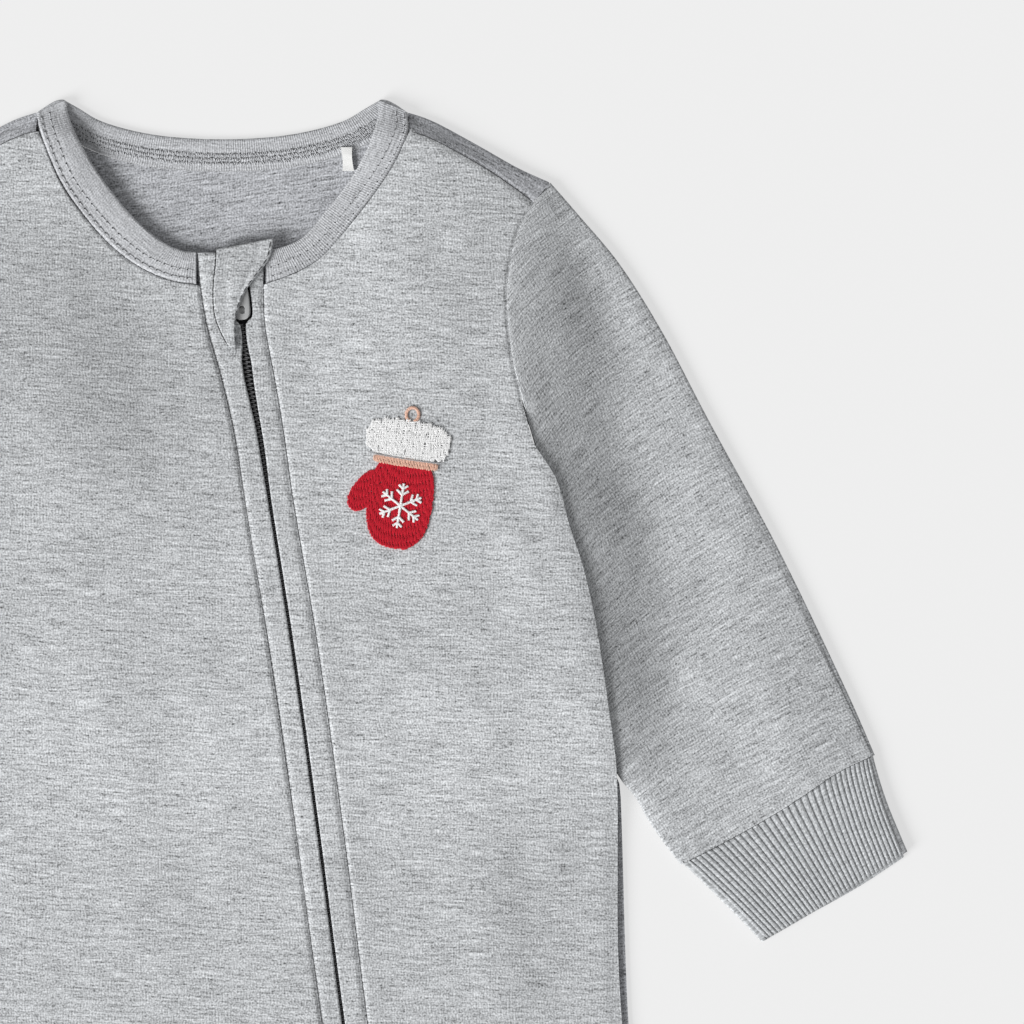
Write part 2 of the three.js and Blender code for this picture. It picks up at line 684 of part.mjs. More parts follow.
// Strips of jersey that cover the zip from both sides. Their inner edges stand open round the slider and leave a slit
// over the teeth.
const slit = [
  { down: 46, right: 3.7, left: 2.4 },
  { down: 56, right: 3.7, left: 3.6 },
  { down: 67.6, right: 3.7, left: 3.7 },
  { down: 69.4, right: 0.6, left: 2 },
  { down: 80, right: 1.2, left: 1.5 },
  { down: 97, right: 1.1, left: 1.1 },
  { down: 125, right: 0.55, left: 0.55 },
  { down: legEnd, right: 0.5, left: 0.5 },
];
const slitRight = column(slit, "right");
const slitLeft = column(slit, "left");
const placketShares = [0, 0.3, 0.65, 1];
const placketRise = (share, down) => mix(topLayer + 1.1, placketLevel, ease(share * 1.25)) + 0.15 * Math.sin(down / 17);
function placketRightPiece() {
  const start = neckSet.right[0].edge.y + 0.1;
  return zipStrip(
    (down) => zipRight(down) + 0.02,
    (down) => zipCentre(down) - slitRight(down),
    [start, ...placketDowns],
    placketShares,
    placketRise,
    cloth,
  );
}
function placketLeftPiece() {
  const start = neckSet.left[0].edge.y + 0.1;
  return zipStrip(
    (down) => zipLeft(down) - 0.02,
    (down) => zipCentre(down) + slitLeft(down),
    [start, ...placketDowns],
    placketShares,
    placketRise,
    cloth,
  );
}
const tapePiece = () =>
  zipStrip(
    (down) => zipCentre(down) - tapeHalf,
    (down) => zipCentre(down) + tapeHalf,
    zipDowns(tapeTop, zipEnd, 28),
    [0, 1],
    () => tapeLevel,
    tapeThick,
  );
const chainPiece = () =>
  zipStrip(
    (down) => zipCentre(down) - chainHalf,
    (down) => zipCentre(down) + chainHalf,
    zipDowns(chainTop, zipEnd - 4, 30),
    [0, 1],
    () => chainLevel,
    chainThick,
  );

// Guard: a flap that covers the end of the zip at the neck, so that nothing hard touches the chin.
function guardPiece() {
  const leftEdge = spline(guard, "leftX", "leftDown").getPoints(12);
  const rightEdge = spline(guard, "rightX", "rightDown").getPoints(12);
  const shares = [0, 0.2, 0.4, 0.6, 0.8, 1];
  const low = placketLevel + cloth + 0.45;
  return new Wall().patch(
    leftEdge.map((start, j) =>
      shares.map((share) => {
        const p = start.clone().lerp(rightEdge[j], share);
        const overPull = ease((p.y - 48) / 6) * ease((76 - p.y) / 6) * ease((p.x - 1) / 2.5);
        const z = low + 0.55 * overPull;
        return [raised(p, z), raised(p, z + cloth)];
      }),
    ),
  );
}

// A plate of an outline's form, with its edges broken where it has a bevel.
function plate(outline, thick, low, bevel = 0) {
  const shape = new THREE.ExtrudeGeometry(outline, {
    depth: thick - 2 * bevel,
    bevelEnabled: bevel > 0,
    bevelThickness: bevel,
    bevelSize: bevel,
    bevelOffset: -bevel,
    bevelSegments: 1,
    curveSegments: 4,
  });
  shape.translate(0, 0, low + bevel);
  return shape;
}
function roundedPlate(width, length, radius) {
  const outline = new THREE.Shape();
  const [w, l] = [width / 2, length / 2];
  outline.moveTo(-w + radius, -l);
  outline.lineTo(w - radius, -l);
  outline.absarc(w - radius, -l + radius, radius, -Math.PI / 2, 0);
  outline.lineTo(w, l - radius);
  outline.absarc(w - radius, l - radius, radius, 0, Math.PI / 2);
  outline.lineTo(-w + radius, l);
  outline.absarc(-w + radius, l - radius, radius, Math.PI / 2, Math.PI);
  outline.lineTo(-w, -l + radius);
  outline.absarc(-w + radius, -l + radius, radius, Math.PI, 1.5 * Math.PI);
  return outline;
}

const lean = Math.atan(0.11);
function sliderPart() {
  const outline = roundedPlate(slider.width, slider.length, 1.6);
  const shape = plate(outline, slider.thick, chainLevel, 0.3);
  shape.rotateZ(lean);
  return shape.translate(sliderCentre.x, -sliderCentre.down, 0);
}
function pullPart() {
  const outline = roundedPlate(pull.width, pull.length, 1.9);
  const hole = roundedPlate(pull.hole, pull.holeLength, 0.35);
  const holeMiddle = -pull.length / 2 + 2.9;
  outline.holes.push(new THREE.Path(hole.getPoints(4).map((p) => new THREE.Vector2(p.x, p.y + holeMiddle))));
  const shape = plate(outline, pull.thick, chainLevel + slider.thick + layerGap);
  shape.rotateZ(lean);
  return shape.translate(pull.x, -(pull.end - pull.length / 2), 0);
}

// Care tab: a folded white ribbon sewn into the back neck seam.
function labelPart() {
  const rowsAlong = [0, 0.25, 0.5, 0.75, 1];
  const places = [0, 0.5, 1];
  const labelWall = new Wall();
  labelWall.patch(
    rowsAlong.map((along) =>
      places.map((share) => {
        const half = 1.75 - 0.3 * Math.sin(Math.PI * along);
        const p = point(37.4 + 0.6 * along + mix(-half, half, share), 15.2 + 7.2 * along);
        const z = ribCloth + layerGap + 0.5 * Math.sin(Math.PI * along) * share;
        return [raised(p, z), raised(p, z + 0.5)];
      }),
    ),
  );
  return labelWall.geometry();
}

const material = (colour, roughness, metalness = 0) => new THREE.MeshStandardMaterial({ color: colour, roughness, metalness });
const garment = new THREE.Group();
garment.position.y = (totalLength + highest) / 2;

function add(name, shape, look, side = 1) {
  const solid = shape instanceof Wall ? shape.geometry() : shape;
  if (side < 0) {
    solid.scale(-1, 1, 1);
    const index = solid.index.array;
    for (let i = 0; i < index.length; i += 3) [index[i + 1], index[i + 2]] = [index[i + 2], index[i + 1]];
    solid.computeVertexNormals();
  }
  const mesh = new THREE.Mesh(solid, look);
  mesh.name = name;
  garment.add(mesh);
}

const jersey = () => material(colours.jersey, 0.95);
add("back", backPiece(), material(colours.jerseyInside, 0.95));
add("front_right", frontRightPiece(), jersey());
add("front_left", frontLeftPiece(), jersey());
for (const [word, side] of Object.entries({ left: 1, right: -1 })) {
  add(`sleeve_${word}`, sleevePiece(), jersey(), side);
  add(`wrist_cuff_${word}`, wristCuffPiece(), material(colours.rib, 0.95), side);
  add(`ankle_cuff_${word}`, ankleCuffPiece(), material(colours.rib, 0.95), side);
}
add("neck_binding", bindingPiece(), material(colours.rib, 0.95));
add("zip_placket_right", placketRightPiece(), jersey());
add("zip_placket_left", placketLeftPiece(), jersey());
add("zip_tape", tapePiece(), material(colours.tape, 0.9));
add("zip_chain", chainPiece(), material(colours.teeth, 0.5));
add("zip_guard", guardPiece(), jersey());
add("zip_slider", sliderPart(), material(colours.paint, 0.45, 0.1));
add("zip_pull", pullPart(), material(colours.paint, 0.45, 0.1));
add("neck_label", labelPart(), material(colours.label, 0.7));

export default garment;
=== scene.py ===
# %% [markdown]
# # A baby's zipped onesie pajama, laid flat
#
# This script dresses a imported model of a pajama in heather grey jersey. The model's solids give every
# piece its place and its size. Here each of them is rebuilt as a finer wall of cloth, with soft folds,
# sewn seams, ribs, stitches, a zip with real teeth and a small embroidered mitten. The camera looks
# straight down on the neck, one sleeve and the upper part of the zip.
#
# We begin by loading the model. Nothing in it is moved: each new piece stands where its solid stands.

import math

import bpy
import numpy as np
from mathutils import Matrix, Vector


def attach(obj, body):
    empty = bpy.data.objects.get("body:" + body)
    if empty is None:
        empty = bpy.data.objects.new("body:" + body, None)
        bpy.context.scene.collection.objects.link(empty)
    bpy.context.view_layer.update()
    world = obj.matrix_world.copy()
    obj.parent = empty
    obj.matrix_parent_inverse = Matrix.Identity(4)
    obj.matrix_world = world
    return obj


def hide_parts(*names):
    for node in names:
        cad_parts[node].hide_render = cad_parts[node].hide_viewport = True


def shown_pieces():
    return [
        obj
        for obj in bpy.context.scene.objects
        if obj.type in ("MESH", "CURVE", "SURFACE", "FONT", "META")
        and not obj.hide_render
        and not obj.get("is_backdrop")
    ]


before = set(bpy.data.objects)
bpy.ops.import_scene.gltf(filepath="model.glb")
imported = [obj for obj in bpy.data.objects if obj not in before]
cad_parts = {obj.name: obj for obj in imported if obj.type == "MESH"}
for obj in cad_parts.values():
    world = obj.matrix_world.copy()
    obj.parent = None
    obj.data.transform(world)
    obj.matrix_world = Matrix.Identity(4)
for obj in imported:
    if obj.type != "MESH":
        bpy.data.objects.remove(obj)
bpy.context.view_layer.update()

# %% [markdown]
# ## Measures
#
# A pattern cutter works from a few lengths. All of them are millimetres here. A place on the garment is
# given as x, from its centre line towards the viewer's right, and down, from the top of the shoulders
# towards the ankles. One function turns such a place and a height into the metres of the frame, so that no
# other line has to.

# %% Sizes, and the way from the garment's own measures to the frame
MM = 0.001
CLOTH = 1.2
RIB_CLOTH = 1.6
SEW_GAP = 0.3
LAYER_GAP = 0.3
CROTCH_DOWN = 388.0
LEG_END = 540.7
ANKLE_CUFF = 32.0
HIGHEST = 1.2
TOTAL_LENGTH = LEG_END + SEW_GAP + ANKLE_CUFF
MIDDLE_DOWN = (TOTAL_LENGTH + HIGHEST) / 2
TOP_LAYER = CLOTH + LAYER_GAP
CHEST_DOWN = 141.0
SHAPE_FADE = 110.0
HALF_CHEST = 120.0
# Points at least this high belong to an upper layer, and the change is spread over a little height.
UPPER_LAYER, UPPER_BLEND = 1.25, 0.25


def mix(a, b, share):
    """From a to b by a share: a + (b - a) * share."""
    return a + (b - a) * share


def clamp(t):
    """Held between 0 and 1."""
    return np.clip(t, 0.0, 1.0)


def ease(t):
    """A soft step from 0 to 1: t squared times (3 - 2 t), held level outside."""
    return clamp(t) ** 2 * (3 - 2 * clamp(t))


def unit(v):
    """Vectors of length one in the same directions."""
    return v / np.maximum(np.linalg.norm(v, axis=-1, keepdims=True), 1e-12)


def steps(count, crowd=0.85):
    """Shares from 0 to 1 that lie closer together near both ends: t - crowd * sin(2 pi t) / (2 pi)."""
    t = np.linspace(0, 1, count + 1)
    return t - crowd * np.sin(2 * np.pi * t) / (2 * np.pi)


def place(x, down, z):
    """Frame points, in metres: x, then the middle of the garment minus down, then the height z. The upper
    layers also ride on the air in the garment."""
    x, down, z = np.broadcast_arrays(x, down, z)
    raised = z + air(x, down) * ease((z - UPPER_LAYER) / UPPER_BLEND)
    return np.stack([x, MIDDLE_DOWN - down, raised], axis=-1) * MM


print("overall length", TOTAL_LENGTH + HIGHEST, "mm; chest", 2 * HALF_CHEST, "mm")

# %% [markdown]
# ## The cut
#
# Each edge of the pattern is a short table, read off a flat garment with a ruler. A table's columns have
# names, and a smooth curve is drawn through each column. The same tables serve both sides: the left half
# is the right half turned over.

# %% Tables of the pattern's edges


def table(columns, *values):
    """A table as a dictionary: each column's name gives its numbers as an array."""
    return dict(zip(columns.split(), np.array(values, float).T))


NECK_FRONT_RIGHT = table(
    "x down seam_x seam_down",
    (7.8, 46.8, 7.8, 56.5), (12, 46.3, 16, 55.2), (18.1, 43.6, 25.5, 50.9), (26.1, 36.9, 33.8, 44.5),
    (34.2, 27.3, 42, 35.4), (40.6, 17.6, 49, 25), (45.2, 8.4, 54.8, 10.6),
)
NECK_FRONT_LEFT = table(
    "x down seam_x seam_down",
    (13.2, 46.3, 13.2, 56.2), (18.4, 45.2, 22.1, 53), (24.8, 42, 30.6, 47.8), (31.7, 33.9, 38.6, 38.8),
    (38.2, 25.7, 46.2, 29), (43.6, 16, 52.6, 19.2), (46.6, 7.4, 56.2, 10.4), (47.2, 1.2, 55.9, 4.8),
)
NECK_BACK = table(
    "x down seam_x seam_down",
    (47.2, 1.2, 55.9, 4.8), (43, 3.6, 49.6, 9.8), (37, 7.1, 41.6, 15), (28.5, 9.8, 31.5, 18.8),
    (18.5, 11.7, 20.3, 21.2), (8, 12.6, 8.8, 22.2), (0, 12.8, 0, 22.4),
)
SHOULDER = table(
    "x down seam_x seam_down",
    (56.2, 4.8, 57, 10.6), (64, 7.6, 64.4, 13.4), (77.7, 15, 77, 20.3), (89, 21.4, 86.4, 26.4),
    (98.9, 25.9, 93.9, 31.9),
)
ARMHOLE = table(
    "down x",
    (25.9, 98.9), (28.6, 96.6), (31.9, 93.9), (39.1, 89.7), (47.6, 87.1), (57.3, 85.8), (66.4, 85.9),
    (79.4, 87.5), (91.8, 90.4), (104, 93.9), (115, 97.2), (128, 100.6), (141, 104.4),
)
SLEEVE_INNER = table(
    "down x",
    (141, 104.4), (155, 108), (169, 110.4), (186, 112.8), (198, 115.8), (206, 120.3), (211, 124.4),
    (218, 128.4), (225, 133.2), (231.3, 138.1),
)
SLEEVE_OUTER = table(
    "x down",
    (98.9, 25.9), (107, 35.2), (120, 50.8), (133, 71.6), (146.6, 97.5), (167.7, 136.5), (187.2, 177),
    (196.6, 198.3),
)
SLEEVE_END = table(
    "x down", (196.6, 198.3), (185.4, 203.6), (168.8, 214.6), (152, 224.2), (138.1, 231.3)
)
WRIST_CUFF = table(
    "out_x out_down in_x in_down bow_x bow_down",
    (194.9, 200.5, 141, 230.8, 0, 0), (199.6, 212.6, 152.2, 243, 0.1, 0.2),
    (206.4, 227.3, 162.6, 254.6, 0.2, 0.6),
)
FRONT_SIDE = table(
    "down x",
    (91.8, 90.2), (98, 92), (104, 93.7), (115, 100.6), (130, 104.9), (141, 108.6), (155, 111.9),
    (169, 114.3), (186, 116.7), (198, 118.4), (206, 119), (218, 119.2), (256, 119.3), (279, 120.5),
    (335, 124.6), (388, 125.2), (445, 121.2), (LEG_END, 112.9),
)
BACK_SIDE = table(
    "down x",
    (198, 115.5), (202, 117.5), (206, 119.5), (218, 120.3), (256, 121.4), (279, 122.4), (335, 126.4),
    (388, 127), (445, 123), (LEG_END, 114.6),
)
INSEAM = table(
    "down x",
    (CROTCH_DOWN, 0), (394, 8), (407, 15.5), (430, 23), (465, 31.2), (500, 37), (LEG_END, 41.6),
)
ZIP = table(
    "down right centre left",
    (46.6, -7.5, 3.4, 12.9), (57.3, -6.6, 4.7, 12.4), (69.3, -4.6, 6.1, 12.9), (84.9, -0.2, 8.1, 15.8),
    (101.4, 3.7, 11.4, 18.6), (121.5, 7, 14.5, 21.5), (166, 14.3, 21.5, 29), (218.5, 21.9, 28.7, 36.2),
    (278.7, 30.1, 36.6, 43.8), (400, 46.8, 53.4, 60.5), (LEG_END, 66.2, 72.8, 79.9),
)
SLIT = table(
    "down right left",
    (46, 3.7, 2.4), (56, 3.6, 3.5), (66.2, 3.5, 3.4), (67.7, 1.3, 1.8), (69, 0.5, 1.1), (75, 0.6, 1),
    (80, 1.3, 1.5), (90, 1.1, 1.2), (97, 0.9, 0.9), (106, 0.8, 0.8), (125, 0.5, 0.5), (LEG_END, 0.5, 0.5),
)
CROTCH_LINE = table("down x", (53, -22), (140, -15), (CROTCH_DOWN, 0))
GUARD = table(
    "left_x left_down right_x right_down",
    (-1.6, 46, 15.6, 42.6), (-1.8, 50.5, 14.4, 48.6), (-2.4, 56, 10.4, 54.2), (-2.5, 61.4, 6.8, 59.2),
    (-1.8, 66.8, 4.6, 65), (0.4, 72.2, 4.1, 71), (3, 76.6, 4.4, 76.2),
)

# %% Curves through the tables


def column(rows, name, by="down"):
    """A smooth curve through a table's column. Each span is a cubic, whose slope at a row is that of the line
    between the rows on either side of it. Outside the table the curve keeps its last value."""
    at, value = rows[by], rows[name]
    index = np.arange(len(at))
    before, after = np.maximum(index - 1, 0), np.minimum(index + 1, len(at) - 1)
    slope = (value[after] - value[before]) / (at[after] - at[before])

    def curve(x):
        i = np.clip(np.searchsorted(at, x) - 1, 0, len(at) - 2)
        span = at[i + 1] - at[i]
        t = clamp((x - at[i]) / span)
        ends = value[i] * (1 + 2 * t) * (1 - t) ** 2 + value[i + 1] * t * t * (3 - 2 * t)
        return ends + span * (slope[i] * t * (1 - t) ** 2 - slope[i + 1] * t * t * (1 - t))

    return curve


def spline(rows, share, x="x", down="down"):
    """Points on a smooth curve through a table's rows, which lie at equal steps of share. A span is a cubic,
    whose slope at a row is half the step between its two neighbours."""
    points = np.stack([rows[x], rows[down]], axis=-1)
    last = len(points) - 1
    at = np.asarray(share) * last
    i = np.clip(np.floor(at).astype(int), 0, last - 1)
    t = (at - i)[..., None]
    p0, p1 = points[np.maximum(i - 1, 0)], points[i]
    p2, p3 = points[i + 1], points[np.minimum(i + 2, last)]
    v0, v1 = (p2 - p0) / 2, (p3 - p1) / 2
    return (2 * p1 - 2 * p2 + v0 + v1) * t**3 + (3 * p2 - 3 * p1 - 2 * v0 - v1) * t**2 + v0 * t + p1


def evenly(points, count):
    """A line's points again, at count + 1 places that are equal lengths apart."""
    run = np.concatenate([[0], np.cumsum(np.linalg.norm(np.diff(points, axis=0), axis=1))])
    at = np.linspace(0, run[-1], count + 1)
    return np.stack([np.interp(at, run, points[:, k]) for k in range(points.shape[1])], axis=1)


armhole_x = column(ARMHOLE, "x")
front_side_x = column(FRONT_SIDE, "x")
back_side_x = column(BACK_SIDE, "x")
sleeve_inner_x = column(SLEEVE_INNER, "x")
inseam_x = column(INSEAM, "x")
zip_centre = column(ZIP, "centre")
zip_right = column(ZIP, "right")
zip_left = column(ZIP, "left")
slit_right = column(SLIT, "right")
slit_left = column(SLIT, "left")
crotch_x = column(CROTCH_LINE, "x")


LEAVES_ARMHOLE = 91.8


def side_x(down):
    """The front's side edge: the armhole seam, then the edge that lies over the sleeve, then the side
    seam."""
    return np.where(down < LEAVES_ARMHOLE, armhole_x(down), front_side_x(down))


zip_shift = zip_centre(LEG_END) - zip_centre(CHEST_DOWN)
zip_lean = math.degrees(math.atan2(zip_shift, LEG_END - CHEST_DOWN))
print("zip leans", round(zip_lean, 1), "degrees below the chest")

# %% [markdown]
# ## How the cloth lies
#
# Jersey laid on a table keeps some air under it. It rests low at its edges, rises towards the middle of a
# panel and shows a few long, soft folds. A cloth simulation could settle such a shape, but folds placed one
# by one come out where the real ones are. Each fold is a smooth hump or trough with its own middle,
# direction, length, width and height.

# %% Air in the garment
AIR_BODY, AIR_SIDE, AIR_ARM = 3.2, 0.5, 9.2
AIR_TOP = table(
    "x down rise",
    (0, 58, 82), (20, 52, 84), (36, 34, 90), (48, 18, 94), (60, 8, 96), (80, 6, 92), (95, 18, 70),
    (110, 42, 50), (125, 66, 48), (140, 94, 50),
)
air_top = column(AIR_TOP, "down", "x")
air_rise = column(AIR_TOP, "rise", "x")
# Where the slope beside the body starts, and how far it runs straight. Beyond that it levels out.
SLOPE = table(
    "down x straight",
    (30, 100, 9), (58, 102, 9), (70, 101, 12), (82, 97, 16), (95, 95, 18), (110, 98, 18), (125, 103, 17),
    (140, 107, 16), (155, 110, 15), (170, 114, 13), (185, 117, 10), (215, 120, 8),
)
slope_start = column(SLOPE, "x")
slope_straight = column(SLOPE, "straight")
SLOPE_TAIL, SLOPE_SOFT = 13.0, 5.0


def slope_fall(out, down):
    """Share of the arm's air that is gone: it grows evenly over the straight part, then ever more slowly. A
    soft start makes the distance (sqrt(d^2 + soft^2) + d) / 2."""
    d = out - slope_start(down)
    d = (np.sqrt(d**2 + SLOPE_SOFT**2) + d) / 2
    straight = slope_straight(down)
    past = np.clip(d - straight, 0, SLOPE_TAIL)
    return (np.minimum(d, straight) + past - past**2 / (2 * SLOPE_TAIL)) / (straight + SLOPE_TAIL / 2)


def air(x, down):
    """Height of the air between the layers. It is a dome over the body, two lower domes over the legs and a
    level chest that ends in a steep slope along the sleeve. It is nothing at the neck, the shoulders and
    the edges."""
    out = np.abs(x)
    side, inseam = side_x(down), inseam_x(down)
    top = ease((down - air_top(out)) / air_rise(out)) * ease((LEG_END - 4 - down) / 70)
    in_legs = ease((down - 300) / 82)
    share = clamp((out - inseam) / (side - inseam))
    dome = mix(1 - clamp(out / side) ** 2, 4 * share * (1 - share), in_legs)
    border = ease((side - out) / 5) * mix(1.0, ease((out - inseam) / 5), in_legs)
    arm = AIR_ARM * (1 - slope_fall(out, down))
    return top * mix(AIR_BODY * dome + AIR_SIDE * border, arm, ease((228 - down) / 56))


# %% Folds of the body and of the sleeve, and the height of the front
FOLD_COLUMNS = "x down turn long wide high"
BODY_FOLDS = table(
    FOLD_COLUMNS,
    (62, 66, 62, 38, 9, 0.3), (74, 122, 38, 34, 10, 0.6), (-70, 118, -34, 40, 11, 0.5),
    (-38, 175, 82, 70, 14, 0.7), (78, 215, 84, 66, 13, 0.7), (-88, 250, 70, 60, 12, 0.9),
    (4, 330, 60, 48, 13, 0.9), (-62, 392, 35, 44, 12, 1), (92, 380, -40, 40, 11, 0.9),
    (-74, 470, 78, 42, 9, 0.8), (96, 470, 96, 42, 7, 0.8),
)
BODY_CREASES = table(
    FOLD_COLUMNS,
    (38, 200, 83, 62, 6, -0.55), (-76, 84, 88, 62, 12, 0.6), (70, 50, 48, 26, 6, -0.3),
    (34, 96, 20, 22, 6, -0.3), (-24, 100, -62, 30, 7, -0.35), (-10, 215, 80, 54, 8, -0.3),
    (60, 160, 30, 24, 7, -0.3), (-60, 200, 24, 34, 7, -0.4), (96, 150, 70, 32, 6, 0.4),
    (100, 262, 76, 44, 8, -0.5), (-104, 190, 98, 40, 7, -0.5), (-40, 290, 22, 44, 8, -0.5),
    (78, 300, -18, 36, 8, -0.4), (-96, 340, 88, 44, 8, 0.5), (-30, 372, 58, 34, 7, -0.6),
    (26, 352, 118, 30, 7, -0.5), (-70, 432, 104, 44, 7, -0.6), (80, 434, 82, 40, 7, -0.5),
    (-96, 500, 70, 24, 6, 0.5), (60, 505, 98, 26, 6, -0.4),
)
SLEEVE_FOLDS = table(
    FOLD_COLUMNS,
    (104, 84, 70, 34, 7, -0.3), (130, 132, 60, 44, 8, -0.3), (136, 158, 58, 46, 10, 0.6),
    (166, 178, 60, 34, 8, 0.6), (122, 74, 60, 26, 5, -0.3), (146, 140, 62, 30, 6, -0.35),
    (150, 192, 50, 26, 6, -0.45), (176, 190, 64, 20, 5, -0.3),
)
# Height that the front's side edge is lifted by: at the armhole seam, then by the sleeve under it.
EDGE_LIFT = table(
    "down lift",
    (20, 0.7), (34, 0.9), (56, 1.5), (88, 2.1), (100, 2.5), (190, 2.4), (203, 2), (214, 0.6), (224, 0.3),
    (LEG_END, 0.2),
)
edge_lift = column(EDGE_LIFT, "lift")
OPEN_LIFT = 1.9
ZIP_LIFT = 2.1
NECK_STAND = 3.0
NECK_LIFT = 0.75


def fold_height(folds, x, down):
    """Sum over the folds of high * exp(-(across / wide)^2 - (along / long)^4)."""
    x, down = np.asarray(x)[..., None], np.asarray(down)[..., None]
    turn = np.radians(folds["turn"])
    along = (x - folds["x"]) * np.cos(turn) + (down - folds["down"]) * np.sin(turn)
    across = (down - folds["down"]) * np.cos(turn) - (x - folds["x"]) * np.sin(turn)
    hump = np.exp(-((across / folds["wide"]) ** 2) - (along / folds["long"]) ** 4)
    return (folds["high"] * hump).sum(axis=-1)


def from_zip_seams(x, down):
    """Distance across to the nearer of the two seams beside the zip."""
    return np.minimum(np.abs(x - zip_right(down)), np.abs(x - zip_left(down)))


def neck_stand(x, down):
    """How far the neck stands up off the back: a round ridge 50 mm from the middle, low at the shoulders'
    folds and at the zip."""
    beyond = np.hypot(x, down) - 50
    ridge = np.exp(-((beyond / np.where(beyond > 0, 28, 17)) ** 2))
    in_neck = ease((down - 3) / 10) * ease((48 - down) / 32)
    return NECK_STAND * ridge * in_neck * ease((from_zip_seams(x, down) - 1) / 14)


def plain_lift(x, down):
    """Lift of the front's cloth off the back: its edge's lift at the side, ZIP_LIFT beside the zip, and
    OPEN_LIFT with the folds between them."""
    from_side = side_x(down) - np.abs(x)
    from_zip = from_zip_seams(x, down)
    in_zip = (x > zip_right(down)) & (x < zip_left(down))
    beside = np.where(in_zip, 1.0, ease(1 - from_zip / 14))
    folds = fold_height(BODY_FOLDS, x, down) + fold_height(BODY_CREASES, x, down)
    middle = mix(np.maximum(OPEN_LIFT + folds, 0.4), ZIP_LIFT, beside)
    low = mix(NECK_LIFT, middle, ease((down - 8) / 40))
    run_in = mix(16, 40, ease((down - 212) / 30))
    return mix(edge_lift(down), low, ease((from_side - 3) / run_in))


def front_lift(x, down):
    """The front's whole lift: its plain lift and the stand of the neck."""
    return plain_lift(x, down) + neck_stand(x, down)


def seam_dip(distance, depth=0.5, width=0.9):
    """How far cloth falls into a seam: depth * exp(-(distance / width)^2)."""
    return depth * np.exp(-((distance / width) ** 2))


def pucker(distance, along, size=0.14, pitch=8.5, reach=5.0):
    """Soft waves that sewing draws into cloth beside a seam: two sines along it that die away from it."""
    wave = np.sin(2 * np.pi * along / pitch) + 0.7 * np.sin(2 * np.pi * along / (pitch * 0.62) + 1.3)
    return size * wave * np.exp(-((distance / reach) ** 2)) * ease(distance / 1.2)


def round_off(distance, radius):
    """How far a rounded edge falls at a distance in from it: radius - sqrt(radius^2 - (radius -
    distance)^2)."""
    inward = np.clip(radius - distance, 0, radius)
    return radius - np.sqrt(radius**2 - inward**2)


chest_height = TOP_LAYER + CLOTH + front_lift(np.array([-60.0, 60.0]), 100.0)
print("front's height over the chest, without air:", np.round(chest_height, 2), "mm")

# %% [markdown]
# ## Making a wall of cloth
#
# A grid of points for the outer face and one for the inner face are enough for a panel. The function below
# joins the patches of a piece where their points are the same, gives every open edge a rim, and turns the
# faces outwards. It works on whole arrays, which is far quicker than adding one vertex after another. Each
# corner also gets its place in the cloth, in millimetres, so that the knit can follow the piece.

# %% From grids of points to meshes
JOIN_STEP = 1e-6
SHARP_EDGE = math.radians(48)


def build(name, points, faces, marks=None):
    """A mesh object from points, faces of four corners and each corner's place in the cloth. A corner that
    repeats the one before it is left out, and the faces are turned outwards if the volume they enclose is
    negative."""
    keep = faces != np.roll(faces, 1, axis=1)
    whole = keep.sum(axis=1) >= 3
    faces, keep = faces[whole], keep[whole]
    a, b, c, d = (points[faces[:, k]] for k in range(4))
    volume = np.einsum("ij,ij->", a, np.cross(b, c)) + np.einsum("ij,ij->", a, np.cross(c, d))
    marks = None if marks is None else marks[whole]
    if volume < 0:
        faces, keep = faces[:, ::-1], keep[:, ::-1]
        marks = None if marks is None else marks[:, ::-1]
    mesh = bpy.data.meshes.new(name)
    corners = faces[keep]
    sizes = keep.sum(axis=1)
    mesh.vertices.add(len(points))
    mesh.vertices.foreach_set("co", points.astype(np.float32).ravel())
    mesh.loops.add(len(corners))
    mesh.loops.foreach_set("vertex_index", corners.astype(np.int32))
    mesh.polygons.add(len(sizes))
    mesh.polygons.foreach_set("loop_start", np.concatenate([[0], np.cumsum(sizes)[:-1]]).astype(np.int32))
    mesh.polygons.foreach_set("use_smooth", np.ones(len(sizes), bool))
    if marks is not None:
        layer = mesh.uv_layers.new(name="cloth")
        layer.data.foreach_set("uv", marks[keep].astype(np.float32).ravel())
    mesh.update(calc_edges=True)
    mesh.validate()
    mesh.set_sharp_from_angle(angle=SHARP_EDGE)
    thing = bpy.data.objects.new(name, mesh)
    bpy.context.scene.collection.objects.link(thing)
    return thing


def corners_of(grid):
    """The four corners of each cell of a grid, in order round the cell."""
    return np.stack([grid[:-1, :-1], grid[1:, :-1], grid[1:, 1:], grid[:-1, 1:]], axis=2)


